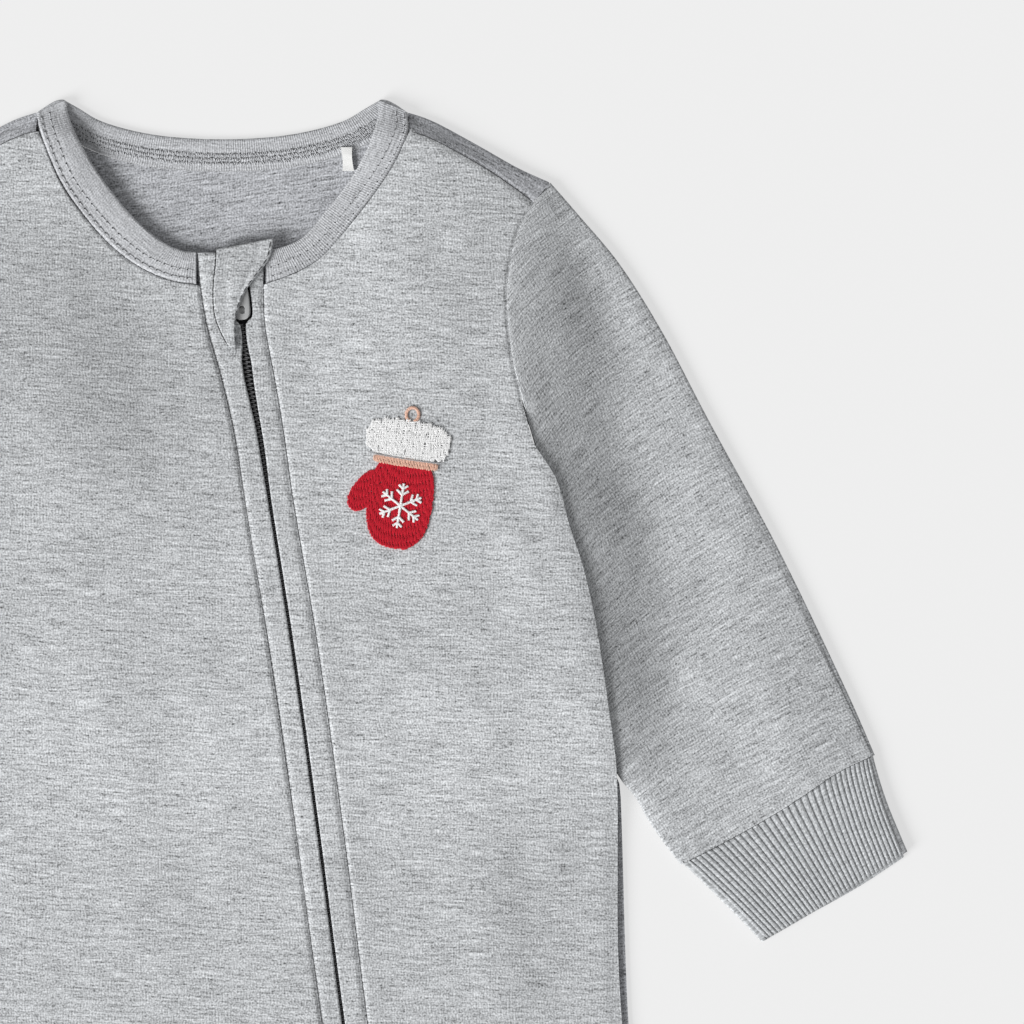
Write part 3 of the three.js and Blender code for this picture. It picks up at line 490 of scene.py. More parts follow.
def wall(name, *patches):
    """One closed wall from patches of (outer points, inner points, places in the cloth). A patch whose places
    have one column more than its points goes all the way round."""
    pairs, quads, marks, first = [], [], [], 0
    for outer, inner, marked in patches:
        rows, columns = outer.shape[:2]
        ids = first + np.arange(rows * columns).reshape(rows, columns)
        if marked.shape[1] > columns:
            ids = np.concatenate([ids, ids[:, :1]], axis=1)
        quads.append(corners_of(ids).reshape(-1, 4))
        marks.append(corners_of(marked).reshape(-1, 4, 2))
        pairs.append(np.concatenate([outer, inner], axis=2).reshape(-1, 6))
        first += rows * columns
    pairs, quads, marks = np.concatenate(pairs), np.concatenate(quads), np.concatenate(marks)
    keys = np.round(pairs / JOIN_STEP).astype(np.int64)
    _, kept, same = np.unique(keys, axis=0, return_index=True, return_inverse=True)
    pairs, quads, half = pairs[kept], same.reshape(-1)[quads], len(kept)
    start, end = quads.ravel(), np.roll(quads, -1, axis=1).ravel()
    mark_start, mark_end = marks.reshape(-1, 2), np.roll(marks, -1, axis=1).reshape(-1, 2)
    opened = ~np.isin(start * half + end, end * half + start) & (start != end)
    a, b = start[opened], end[opened]
    rim = np.stack([b, a, a + half, b + half], axis=1)
    rim_marks = np.stack([mark_end, mark_start, mark_start, mark_end], axis=1)[opened]
    faces = np.concatenate([quads, quads[:, ::-1] + half, rim])
    marks = np.concatenate([marks, marks[:, ::-1], rim_marks])
    return build(name, np.concatenate([pairs[:, :3], pairs[:, 3:]]), faces, marks)


def mirrored(grid):
    """A grid of frame points on the other side of the centre line, with its columns turned round."""
    return (grid * [-1, 1, 1])[:, ::-1]


def on_grid(grid, a, b):
    """Points of a grid at fractional rows a and columns b, between the four around them."""
    i = np.clip(np.floor(a).astype(int), 0, grid.shape[0] - 2)
    j = np.clip(np.floor(b).astype(int), 0, grid.shape[1] - 2)
    s, t = (a - i)[..., None], (b - j)[..., None]
    near = mix(grid[i, j], grid[i + 1, j], s)
    far = mix(grid[i, j + 1], grid[i + 1, j + 1], s)
    return mix(near, far, t)


def finished(thing, look, slot, *nodes):
    """Gives a piece its material and its body, and hides the model's nodes that it stands for. Its slot is
    not used.
    """
    thing.data.materials.append(look)
    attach(thing, "root")
    if nodes:
        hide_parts(*nodes)
    print(thing.name, len(thing.data.polygons), "faces")
    return thing


# %% [markdown]
# ## Shading the knit
#
# Heather grey is a mix of dark and pale fibres spun into one yarn. Up close it shows short level streaks,
# fine grain and a few dark flecks over faint upright rows of stitches. A photograph could be pasted on,
# but a formula has no edges, repeats or shadows of its own. The pattern is a node group, used by the
# jersey and by both kinds of rib with other values. It reads the places in the cloth, in millimetres.

# %% A short way to add nodes


def add(tree, kind, inputs=None, **settings):
    """A shader node with settings, and with each input given a value or joined to a socket."""
    made = tree.nodes.new("ShaderNode" + kind)
    for key, value in settings.items():
        setattr(made, key, value)
    for key, value in (inputs or {}).items():
        if isinstance(value, bpy.types.NodeSocket):
            tree.links.new(value, made.inputs[key])
        else:
            made.inputs[key].default_value = value
    return made


def maths(tree, operation, *values):
    """One sum on numbers or sockets."""
    return add(tree, "Math", dict(enumerate(values)), operation=operation).outputs[0]


def stretched(tree, vector, across, along, shift=0.0):
    """Coordinates that grow by one over a given number of millimetres across and along."""
    scale = (1 / across, 1 / along, 1)
    values = {"Vector": vector, "Scale": scale, "Location": (shift, 2 * shift, 0)}
    return add(tree, "Mapping", values).outputs[0]


def noise(tree, vector, detail=0.0, rough=0.5):
    """Smooth noise from 0 to 1 on flat coordinates."""
    made = add(
        tree, "TexNoise", {"Vector": vector, "Scale": 1.0, "Detail": detail, "Roughness": rough},
        noise_dimensions="2D",
    )
    return made.outputs["Fac"]


def spread(tree, value, low, high, to_low=0.0, to_high=1.0):
    """A value moved from one range to another and held inside it."""
    given = {"Value": value, "From Min": low, "From Max": high, "To Min": to_low, "To Max": to_high}
    return add(tree, "MapRange", given).outputs[0]


def new_group(name, inputs, outputs):
    """An empty node group with named sockets: (name, kind, value) in and (name, kind) out."""
    group = bpy.data.node_groups.new(name, "ShaderNodeTree")
    for label, kind, value in inputs:
        socket = group.interface.new_socket(label, in_out="INPUT", socket_type="NodeSocket" + kind)
        if value is not None:
            socket.default_value = value
    for label, kind in outputs:
        group.interface.new_socket(label, in_out="OUTPUT", socket_type="NodeSocket" + kind)
    return group, group.nodes.new("NodeGroupInput").outputs, group.nodes.new("NodeGroupOutput").inputs


# %% The heather pattern as a node group
heather, given, result = new_group(
    "heather_knit",
    [("Place", "Vector", None), ("Tone", "Color", (0.45, 0.46, 0.48, 1)), ("Streaks", "Float", 1.0),
     ("Grain", "Float", 1.0), ("Wale pitch", "Float", 0.9)],
    [("Color", "Color"), ("Height", "Float")],
)
drift = noise(heather, stretched(heather, given["Place"], 18.0, 8.0, 2.3))
drift = add(heather, "CombineXYZ", {1: maths(heather, "MULTIPLY", drift, 1.6)}).outputs[0]
strands = add(heather, "VectorMath", {0: given["Place"], 1: drift}, operation="ADD").outputs[0]
streak = noise(heather, stretched(heather, strands, 9.0, 0.62))
short_streak = noise(heather, stretched(heather, strands, 2.2, 0.54, 6.7))
long_streak = noise(heather, stretched(heather, strands, 16.0, 1.5, 3.7), 2.0, 0.6)
grain = noise(heather, stretched(heather, given["Place"], 0.52, 0.54, 9.1))
fleck = spread(heather, noise(heather, stretched(heather, strands, 1.7, 0.42, 5.3), 1.0), 0.58, 0.76)
pale = spread(heather, noise(heather, stretched(heather, strands, 3.0, 0.36, 7.9)), 0.64, 0.8)
broad = noise(heather, stretched(heather, given["Place"], 38.0, 16.0, 1.9), 2.0)
across = add(heather, "SeparateXYZ", {0: given["Place"]}).outputs[0]
turns = maths(heather, "DIVIDE", across, given["Wale pitch"])
wobble = maths(heather, "MULTIPLY", broad, 5.0)
angle = maths(heather, "MULTIPLY", maths(heather, "ADD", turns, wobble), 2 * math.pi)
wale = maths(heather, "SINE", angle)


def centred(value, weight):
    """A noise value taken from its middle, times a weight."""
    return maths(heather, "MULTIPLY", maths(heather, "SUBTRACT", value, 0.5), weight)


streaks = maths(heather, "ADD", centred(streak, 0.6), centred(long_streak, 0.42))
streaks = maths(heather, "ADD", streaks, centred(short_streak, 0.4))
streaks = maths(heather, "ADD", streaks, maths(heather, "MULTIPLY", fleck, -0.4))
streaks = maths(heather, "ADD", streaks, maths(heather, "MULTIPLY", pale, 0.14))
streaks = maths(heather, "MULTIPLY", streaks, given["Streaks"])
grains = maths(heather, "MULTIPLY", centred(grain, 1.05), given["Grain"])
light = maths(heather, "ADD", maths(heather, "ADD", streaks, grains), maths(heather, "MULTIPLY", wale, 0.03))
light = maths(heather, "ADD", light, centred(broad, 0.16))
light = maths(heather, "ADD", light, 1.0)
shade = add(heather, "CombineColor", {0: light, 1: light, 2: light}).outputs[0]
tone = add(
    heather, "Mix", {"Factor": 1.0, "A": given["Tone"], "B": shade}, data_type="RGBA", blend_type="MULTIPLY"
)
heather.links.new(tone.outputs["Result"], result["Color"])
height = maths(heather, "ADD", maths(heather, "MULTIPLY", wale, 0.12), centred(grain, 0.5))
heather.links.new(maths(heather, "ADD", height, centred(short_streak, 0.4)), result["Height"])
print("node group", heather.name, len(heather.nodes), "nodes")

# %% Materials of the garment


def new_material(name, rough):
    """A material of one roughness, its tree and its Principled shader."""
    made = bpy.data.materials.new(name)
    made.use_nodes = True
    shader = made.node_tree.nodes["Principled BSDF"]
    shader.inputs["Roughness"].default_value = rough
    return made, made.node_tree, shader


def with_bump(tree, shader, height, distance):
    """Feeds a height into the shader's normal, over a real distance in metres."""
    bump = add(tree, "Bump", {"Height": height, "Distance": distance, "Strength": 1.0})
    tree.links.new(bump.outputs[0], shader.inputs["Normal"])


def knit(name, tone, streaks=1.0, grain=1.0, pitch=0.9, bump=0.00012, sheen=0.12):
    """Heather knit cloth, matt, with a faint sheen of loose fibre."""
    made, tree, shader = new_material(name, 0.95)
    marks = add(tree, "UVMap", uv_map="cloth").outputs[0]
    values = {"Place": marks, "Tone": (*tone, 1), "Streaks": streaks, "Grain": grain, "Wale pitch": pitch}
    group = add(tree, "Group", values, node_tree=heather)
    tree.links.new(group.outputs["Color"], shader.inputs["Base Color"])
    with_bump(tree, shader, group.outputs["Height"], bump)
    shader.inputs["Sheen Weight"].default_value = sheen
    shader.inputs["Sheen Roughness"].default_value = 0.6
    shader.inputs["Specular IOR Level"].default_value = 0.15
    return made


JERSEY_TONE = (0.528, 0.542, 0.556)
# Painted shade: the sleeves take a darker copy of the jersey, for the light that meets their turned stitches
# from another side.
SLEEVE_SHADED_TONE = (0.487, 0.5, 0.513)
# Painted shade: the guard takes a darker copy of the jersey, against the light that falls on its tilted face.
GUARD_SHADED_TONE = (0.48, 0.493, 0.506)
INSIDE_TONE = (0.45, 0.46, 0.484)
RIB_TONE = (0.52, 0.53, 0.55)
CUFF_TONE = (0.485, 0.5, 0.513)
CUFF_PITCH = 1.62
jersey = knit("heather_jersey", JERSEY_TONE)
jersey_sleeve_shaded = knit("heather_jersey_sleeve_shaded", SLEEVE_SHADED_TONE)
jersey_guard_shaded = knit("heather_jersey_guard_shaded", GUARD_SHADED_TONE)
jersey_inside = knit("heather_jersey_inside", INSIDE_TONE, streaks=1.1)


def ribbed(name, tone, rib_pitch, furrow_shade, raised, **values):
    """Rib knit: the heather pattern with wales of one pitch. Their furrows, at whole numbers of the pitch,
    are darkened with painted shade, and the wales stand up in the light."""
    made = knit(name, tone, **values)
    tree = made.node_tree
    shader = tree.nodes["Principled BSDF"]
    marks = next(n for n in tree.nodes if n.type == "UVMAP").outputs[0]
    across_rib = add(tree, "SeparateXYZ", {0: marks}).outputs[0]
    rib_angle = maths(tree, "MULTIPLY", across_rib, 2 * math.pi / rib_pitch)
    wales = maths(tree, "MULTIPLY", maths(tree, "COSINE", rib_angle), -1)
    group = next(n for n in tree.nodes if n.type == "GROUP")
    # Painted shade: the colour is darkened in each furrow between the wales.
    dark = spread(tree, wales, -1.0, 0.0, furrow_shade, 1.0)
    shade_here = add(tree, "CombineColor", {0: dark, 1: dark, 2: dark}).outputs[0]
    tone_here = add(
        tree, "Mix", {"Factor": 1.0, "A": group.outputs["Color"], "B": shade_here},
        data_type="RGBA", blend_type="MULTIPLY",
    )
    tree.links.new(tone_here.outputs["Result"], shader.inputs["Base Color"])
    total = maths(tree, "ADD", maths(tree, "MULTIPLY", wales, raised), group.outputs["Height"])
    bump = next(n for n in tree.nodes if n.type == "BUMP")
    tree.links.new(total, bump.inputs["Height"])
    return made


cuff_rib = ribbed("heather_rib", CUFF_TONE, CUFF_PITCH, 0.8, 0.16, streaks=0.5, grain=0.8, pitch=0.5)
binding_rib = ribbed("heather_binding", RIB_TONE, 0.72, 0.91, 0.32, streaks=0.6, grain=0.7, pitch=0.72)


def thread_material(name, colour, rough=0.5, sheen=0.2):
    """Sewing or embroidery thread: a soft gloss, and a fine ply worked out from the place on the object."""
    made, tree, shader = new_material(name, rough)
    where = add(tree, "TexCoord").outputs["Object"]
    ply = add(tree, "TexNoise", {"Vector": where, "Scale": 3200.0, "Detail": 1.0}).outputs["Fac"]
    dark, pale_tone = [c * 0.8 for c in colour], [min(c * 1.12, 1.0) for c in colour]
    ramp = add(tree, "Mix", {"Factor": ply, "A": (*dark, 1), "B": (*pale_tone, 1)}, data_type="RGBA")
    tree.links.new(ramp.outputs["Result"], shader.inputs["Base Color"])
    with_bump(tree, shader, ply, 0.00006)
    shader.inputs["Sheen Weight"].default_value = sheen
    return made


pale_thread = thread_material("pale_sewing_thread", (0.6, 0.61, 0.63), 0.6)
red_thread = thread_material("crimson_thread", (0.58, 0.006, 0.024), 0.5, 0.03)
white_thread = thread_material("white_thread", (0.93, 0.93, 0.93), 0.5)
peach_thread = thread_material("peach_thread", (0.8, 0.5, 0.38), 0.5)
grey_thread = thread_material("grey_thread", (0.42, 0.425, 0.44), 0.5)
# Painted shadow: a near-black thread that stands for the shade in seams, holes and stitched furrows.
painted_shadow_thread = thread_material("painted_shadow_thread", (0.055, 0.056, 0.06), 0.7, 0.0)
# Painted shadow: a black thread that stands for the shade in the gap beside the guard's left edge.
painted_gap_shadow = thread_material("painted_gap_shadow", (0.012, 0.012, 0.013), 0.7, 0.0)
print(len(bpy.data.materials), "materials so far")

# %% Materials of the zip and the tab
TWILL_PITCH, SATIN_PITCH = 0.55, 0.35


def tape_material():
    """Woven tape. Its twill is the product of two crossed waves: sin(x + y) * sin(x - y)."""
    made, tree, shader = new_material("woven_tape", 0.85)
    marks = add(tree, "UVMap", uv_map="cloth").outputs[0]
    x, y = add(tree, "SeparateXYZ", {0: marks}).outputs[:2]
    twill = 2 * math.pi / TWILL_PITCH
    warp = maths(tree, "SINE", maths(tree, "MULTIPLY", maths(tree, "ADD", x, y), twill))
    weft = maths(tree, "SINE", maths(tree, "MULTIPLY", maths(tree, "SUBTRACT", x, y), twill))
    weave = maths(tree, "MULTIPLY", warp, weft)
    factor = spread(tree, weave, -1.0, 1.0)
    tone_here = add(
        tree,
        "Mix",
        {"Factor": factor, "A": (0.02, 0.02, 0.022, 1), "B": (0.06, 0.06, 0.064, 1)},
        data_type="RGBA",
    )
    tree.links.new(tone_here.outputs["Result"], shader.inputs["Base Color"])
    with_bump(tree, shader, weave, 0.00008)
    return made


def plain_material(name, colour, rough, scale, change=0.08, bump=0.00002):
    """A smooth finish with small changes of tone and gloss over its surface."""
    made, tree, shader = new_material(name, rough)
    where = add(tree, "TexCoord").outputs["Object"]
    patch = add(tree, "TexNoise", {"Vector": where, "Scale": scale, "Detail": 3.0}).outputs["Fac"]
    dark, pale_tone = [c * (1 - change) for c in colour], [min(c * (1 + change), 1) for c in colour]
    ramp = add(tree, "Mix", {"Factor": patch, "A": (*dark, 1), "B": (*pale_tone, 1)}, data_type="RGBA")
    tree.links.new(ramp.outputs["Result"], shader.inputs["Base Color"])
    tree.links.new(spread(tree, patch, 0.3, 0.7, rough - 0.06, rough + 0.06), shader.inputs["Roughness"])
    with_bump(tree, shader, patch, bump)
    return made


def ribbon_material():
    """Satin ribbon: fine ridges across it and a soft gloss."""
    made, tree, shader = new_material("satin_ribbon", 0.42)
    marks = add(tree, "UVMap", uv_map="cloth").outputs[0]
    y = add(tree, "SeparateXYZ", {0: marks}).outputs[1]
    ridge = maths(tree, "SINE", maths(tree, "MULTIPLY", y, 2 * math.pi / SATIN_PITCH))
    factor = spread(tree, ridge, -1.0, 1.0)
    tone_here = add(
        tree,
        "Mix",
        {"Factor": factor, "A": (0.78, 0.78, 0.77, 1), "B": (0.93, 0.93, 0.92, 1)},
        data_type="RGBA",
    )
    tree.links.new(tone_here.outputs["Result"], shader.inputs["Base Color"])
    with_bump(tree, shader, ridge, 0.00003)
    return made


woven_tape = tape_material()
coil_plastic = plain_material("coil_plastic", (0.2, 0.2, 0.205), 0.28, 900)
enamel = plain_material("grey_enamel", (0.47, 0.475, 0.48), 0.35, 260, 0.06, 0.00001)
ribbon = ribbon_material()
print("materials:", ", ".join(m.name for m in bpy.data.materials))

# %% [markdown]
# ## The front
#
# The front is two panels, one on each side of the slanting zip. The zip runs down into the wearer's left
# leg, so the panel on the wearer's right also carries the crotch and the inner half of that leg. Each
# panel is a grid between two edges. Its top row has the form of the neck seam and the shoulder seam, and
# that form fades out further down.

# %% The front's two panels
COLUMNS = 84
ROWS_ABOVE, ROWS_LEGS = 176, 76
FIRST_ROW = 31.9
SEWN = 0.08
# Share of the neck's right curve at which the two patches of that panel meet.
SPLIT_SHARE = 3 / 7


def neck_line(rows, share, extra=0.0, sign=1):
    """Points of a neck table's edge and seam, and of the line just beyond the seam."""
    edge = spline(rows, share) * [sign, 1]
    seam = spline(rows, share, "seam_x", "seam_down") * [sign, 1]
    return edge, seam, seam + unit(seam - edge) * extra


def between(left, right, top, share, fade=SHAPE_FADE):
    """Places between two edges, a row for each of their points: left + (right - left) * share, plus the top
    edge's own form, which fades out over a length. The top edge is given as a line whose x grows."""
    goal_x = mix(top[0, 0], top[-1, 0], share)
    form = np.stack([goal_x, np.interp(goal_x, top[:, 0], top[:, 1])], axis=-1) - mix(
        left[0], right[0], share[:, None]
    )
    keep = clamp(1 - (right[:, 1] - right[0, 1]) / fade) * clamp(1 - (left[:, 1] - left[0, 1]) / fade)
    straight = mix(left[:, None], right[:, None], share[None, :, None])
    return straight + keep[:, None, None] * form[None]


def zip_edge(curve, downs, start, step):
    """An edge beside the zip. Above the chest its rows run from the neck, and below it they are level."""
    from_start = (downs - downs[0]) / (CHEST_DOWN - downs[0])
    level = np.where(downs < CHEST_DOWN, mix(start, CHEST_DOWN, from_start), downs)
    return np.stack([curve(level) + step, level], axis=-1)


def edge_distances(grid):
    """How far each point of a grid is from its first and last column and its first and last row."""
    return (
        np.linalg.norm(grid - grid[:, :1], axis=-1), np.linalg.norm(grid - grid[:, -1:], axis=-1),
        np.linalg.norm(grid - grid[:1], axis=-1), np.linalg.norm(grid - grid[-1:], axis=-1),
    )


def front_patch(grid, seams):
    """A patch of the front on its grid of places. seams says for the first column, last column, first row and
    last row how deep the cloth dips there."""
    x, down = grid[..., 0], grid[..., 1]
    top = TOP_LAYER + CLOTH + front_lift(x, down)
    at_side = np.minimum(side_x(down) - np.abs(x), 30)
    sewn = mix(1.0, ease((104 - down) / 14), at_side < 12)
    for distance, depth in zip(edge_distances(grid), seams):
        if depth:
            top = top - sewn * seam_dip(distance, depth, 0.7) + pucker(distance, x + down, 0.2 * depth)
    return place(x, down, top), place(x, down, top - CLOTH), np.stack([x, down - 0.045 * x], axis=-1)


body_downs = np.concatenate(
    [
        mix(FIRST_ROW, CROTCH_DOWN, steps(ROWS_ABOVE, 0.7)),
        mix(CROTCH_DOWN, LEG_END, steps(ROWS_LEGS, 0.7))[1:],
    ]
)
crotch_row = ROWS_ABOVE
neck_share = np.linspace(0, 1, 60)
forward_seam = spline(SHOULDER, np.linspace(0, 1, 40), "seam_x", "seam_down")


def front_left_patch():
    """The panel on the wearer's left, from the zip to the side."""
    neck = neck_line(NECK_FRONT_LEFT, neck_share, SEWN)[2]
    shoulder = forward_seam[1:] + [-SEWN, SEWN]
    top = np.concatenate([neck, shoulder])
    side = np.stack([side_x(body_downs) - SEWN, body_downs], axis=-1)
    side[0] = top[-1]
    beside_zip = zip_edge(zip_left, body_downs, neck[0, 1], SEWN)
    beside_zip[0] = top[0]
    return front_patch(between(beside_zip, side, top, steps(COLUMNS)), (0.5, 0.4, 0.4, 0.5))


def front_right_patches():
    """Two patches that share a line from the neck to the crotch, below which each has its own leg."""
    beyond = neck_line(NECK_FRONT_RIGHT, neck_share, SEWN, -1)[2][::-1]
    shoulder = (forward_seam[1:] * [-1, 1] + [SEWN, SEWN])[::-1]
    start = neck_line(NECK_FRONT_RIGHT, np.array([SPLIT_SHARE]), SEWN, -1)[2][0]
    left_top = np.concatenate([shoulder, beyond[beyond[:, 0] < start[0]], [start]])
    right_top = np.concatenate([[start], beyond[beyond[:, 0] > start[0]]])
    side = np.stack([SEWN - side_x(body_downs), body_downs], axis=-1)
    side[0] = left_top[0]
    beside_zip = zip_edge(zip_right, body_downs, right_top[-1, 1], -SEWN)
    beside_zip[0] = right_top[-1]
    middle = zip_edge(crotch_x, body_downs, start[1], 0)
    middle[:, 0] += (start[0] - crotch_x(start[1])) * clamp(1 - (middle[:, 1] - start[1]) / 200)
    middle[0] = start
    legs = np.arange(len(body_downs)) > crotch_row
    inner = np.stack([inseam_x(body_downs), body_downs], axis=-1)
    right_leg = np.where(legs[:, None], inner * [-1, 1], middle)
    left_leg = np.where(legs[:, None], inner, middle)
    wide = between(side, right_leg, left_top, steps(COLUMNS))
    narrow = between(left_leg, beside_zip, right_top, steps(COLUMNS // 2))
    return front_patch(wide, (0.4, 0, 0.4, 0.5)), front_patch(narrow, (0, 0.5, 0.4, 0.5))


front_left = wall("front_left_panel", front_left_patch())
finished(front_left, jersey, "jersey", "front_left")
front_right = wall("front_right_panel", *front_right_patches())
finished(front_right, jersey, "jersey", "front_right")

# %% [markdown]
# ## The back
#
# The back lies flat under everything. At each shoulder it folds over to the front and ends in a seam that
# sits forward of the fold, which is how baby clothes keep hard seams off the shoulder. The fold is a half
# circle carried along the shoulder line.

# %% The back, with its strips over the shoulders
FOLD_STEPS = 8
BACK_ROWS_ABOVE, BACK_ROWS_LEGS = 130, 56
BACK_FIRST_ROW = 25.9
SLEEVE_END_DOWN = 198.0
STRIP_SHARES = np.linspace(0.1, 1, 12)[:, None]
INSIDE_SLANT = 0.16


def back_patches():
    """The flat back and the folded shoulder strip of one side, and the same of the other side."""
    reach = CLOTH + LAYER_GAP / 2
    share = np.linspace(0, 1, 37)
    line = spline(SHOULDER, share)
    seam = spline(SHOULDER, share, "seam_x", "seam_down")
    way = np.gradient(line, axis=0)
    outward = unit(np.stack([way[:, 1], -way[:, 0]], axis=-1))
    fold_line = line - outward * reach
    seam[0, 0] = NECK_BACK["seam_x"][0] + 2 * SEWN
    seam[:, 1] -= SEWN
    fold_line[0, 0] -= SEWN
    fold_line[-1, 0] -= SEW_GAP
    seam[-1, 0] -= SEW_GAP
    neck = neck_line(NECK_BACK, np.linspace(0, 1, 37), SEWN)[2][::-1]
    top = np.concatenate([neck[:-1], fold_line])
    downs = np.concatenate(
        [
            mix(BACK_FIRST_ROW, CROTCH_DOWN, steps(BACK_ROWS_ABOVE, 0.5)),
            mix(CROTCH_DOWN, LEG_END, steps(BACK_ROWS_LEGS, 0.5))[1:],
        ]
    )
    beside_sleeve = np.where(downs <= CHEST_DOWN, armhole_x(downs), sleeve_inner_x(downs)) - SEW_GAP
    side = np.stack([np.where(downs < SLEEVE_END_DOWN, beside_sleeve, back_side_x(downs)), downs], axis=-1)
    side[0] = top[-1]
    centre = zip_edge(lambda d: 0 * d, downs, top[0, 1], 0)
    in_leg = (np.arange(len(downs)) > BACK_ROWS_ABOVE)[:, None]
    centre = np.where(in_leg, np.stack([inseam_x(downs), downs], axis=-1), centre)
    share_x = (top[:, 0] - top[0, 0]) / (top[-1, 0] - top[0, 0])
    grid = between(centre, side, top, share_x)
    x, down = grid[..., 0], grid[..., 1]
    flat = place(x, down, 0.0), place(x, down, CLOTH)
    turn = np.linspace(-np.pi / 2, np.pi / 2, FOLD_STEPS + 1)[:, None]

    def wrap(radius, thick):
        """One face of the strip: a half circle round the fold line, then straight on to the forward seam."""
        round_it = fold_line[None] + (radius * np.cos(turn))[..., None] * outward[None]
        lower = place(round_it[..., 0], round_it[..., 1], reach + radius * np.sin(turn))
        over = mix(fold_line, seam, STRIP_SHARES[..., None])
        x, down = over[..., 0], over[..., 1]
        level = TOP_LAYER + thick + front_lift(x, down) * STRIP_SHARES
        near_seam = np.linalg.norm(over - seam, axis=-1)
        return np.concatenate([lower, place(x, down, level - seam_dip(near_seam, 0.45))])

    outer, inner = wrap(reach, CLOTH), wrap(LAYER_GAP / 2, 0)
    run = np.concatenate([[0], np.cumsum(np.linalg.norm(np.diff(outer[:, 18], axis=0), axis=-1))]) / MM
    marks = np.stack(np.broadcast_arrays(fold_line[None, :, 0], 12.0 - run[:, None]), axis=-1)
    body = (*flat, np.stack([x, down + INSIDE_SLANT * x], axis=-1))
    strip = (outer[::-1], inner[::-1], marks[::-1])
    other = [(mirrored(a), mirrored(b), (m * [-1, 1])[:, ::-1]) for a, b, m in (body, strip)]
    other[0][2][..., 1] -= 2 * INSIDE_SLANT * np.abs(other[0][2][..., 0])
    return [body, strip, *other]


back = wall("back_panel", *back_patches())
finished(back, jersey_inside, "jersey", "back")

# %% [markdown]
# ## Sleeves
#
# A sleeve laid flat is a squashed tube. It is made as rings: each ring runs across the upper layer, round
# the underarm fold, back across the lower layer and round the outer fold. The first ring is the armhole
# seam and the last one is the seam of the cuff. Next to the body the upper layer stands as high as the
# front, and it falls away beyond that.

# %% Flattened rings, and the two sleeves
FOLD_POWER = 0.6


def flat_ring(line, lift, thick, lower_shift=None):
    """Rings of cloth from lines of places, with a fold at both ends. The upper layer lies at reach + radius +
    lift and the lower one at reach - radius, for the outer and the inner radius of the fold."""
    reach = thick + LAYER_GAP / 2
    turns_down = np.linspace(np.pi / 2, -np.pi / 2, FOLD_STEPS + 1)

    def fold(corner, inside, radius, turns_here):
        """The fold at one end: a half circle drawn out at its corners, cos^0.6 across and sin^0.6 up."""
        away = unit(corner - inside)
        middle = corner - away * reach
        across = np.abs(np.cos(turns_here)) ** FOLD_POWER
        up = np.sign(turns_here) * np.abs(np.sin(turns_here)) ** FOLD_POWER
        p = middle[:, None] + away[:, None] * (radius * across)[None, :, None]
        return place(p[..., 0], p[..., 1], (reach + radius * up)[None])

    def face(radius, raised):
        """The whole ring at one radius of its folds."""
        upper, lower = line[:, 1:-1], line[:, -2:0:-1]
        if lower_shift is not None:
            lower = lower + lower_shift[:, -2:0:-1]
        return np.concatenate(
            [
                place(upper[..., 0], upper[..., 1], reach + radius + raised),
                fold(line[:, -1], line[:, -2], radius, turns_down),
                place(lower[..., 0], lower[..., 1], reach - radius + 0 * lower[..., 0]),
                fold(line[:, 0], line[:, 1], radius, turns_down[::-1]),
            ],
            axis=1,
        )

    outside = lift[:, 1:-1]
    inside = np.minimum(outside, outside.mean(axis=1, keepdims=True) + 2)
    return face(reach, outside), face(LAYER_GAP / 2, inside)


SLEEVE_RINGS, SLEEVE_PLACES = 112, 66
SLEEVE_DOWNS = np.array([141, 155, 162, 169, 177.5, 186, 198, 202, 206, 211, 218, 231.3])
SLEEVE_GRAIN = math.radians(26)
# The knit's rows drift by TWIST towards the armhole, where the sleeve's crown is sewn in.
TWIST, TWIST_REACH = 15.0, 21.0


def sleeve_lines():
    """The rings' lines: from the outer fold to the underarm fold, with the armhole's form at the first ring
    and the cuff seam's at the last."""
    along = steps(SLEEVE_RINGS, 0.6)
    share = np.concatenate([[0], mix(0.03, 0.972, steps(SLEEVE_PLACES, 0.5)), [1]])
    outer_line = evenly(spline(SLEEVE_OUTER, np.linspace(0, 1, 400)), 600)
    outer = np.stack([np.interp(along, np.linspace(0, 1, 601), outer_line[:, k]) for k in (0, 1)], axis=-1)
    inner_down = np.interp(along, np.linspace(0, 1, len(SLEEVE_DOWNS)), SLEEVE_DOWNS)
    inner = np.stack([sleeve_inner_x(inner_down), inner_down], axis=-1)
    seam_downs = np.linspace(BACK_FIRST_ROW, CHEST_DOWN, 400)
    seam_line = evenly(np.stack([armhole_x(seam_downs), seam_downs], axis=-1), 400)
    seam = np.stack([np.interp(share, np.linspace(0, 1, 401), seam_line[:, k]) for k in (0, 1)], axis=-1)
    end = spline(SLEEVE_END, share)
    start_pull = seam - mix(seam[0], seam[-1], share[:, None])
    end_pull = end - mix(outer[-1], inner[-1], share[:, None])
    straight = mix(outer[:, None], inner[:, None], share[None, :, None])
    lines = straight + start_pull * ((1 - along) ** 1.6)[:, None, None] + end_pull * (along**4)[:, None, None]
    return lines, along, share


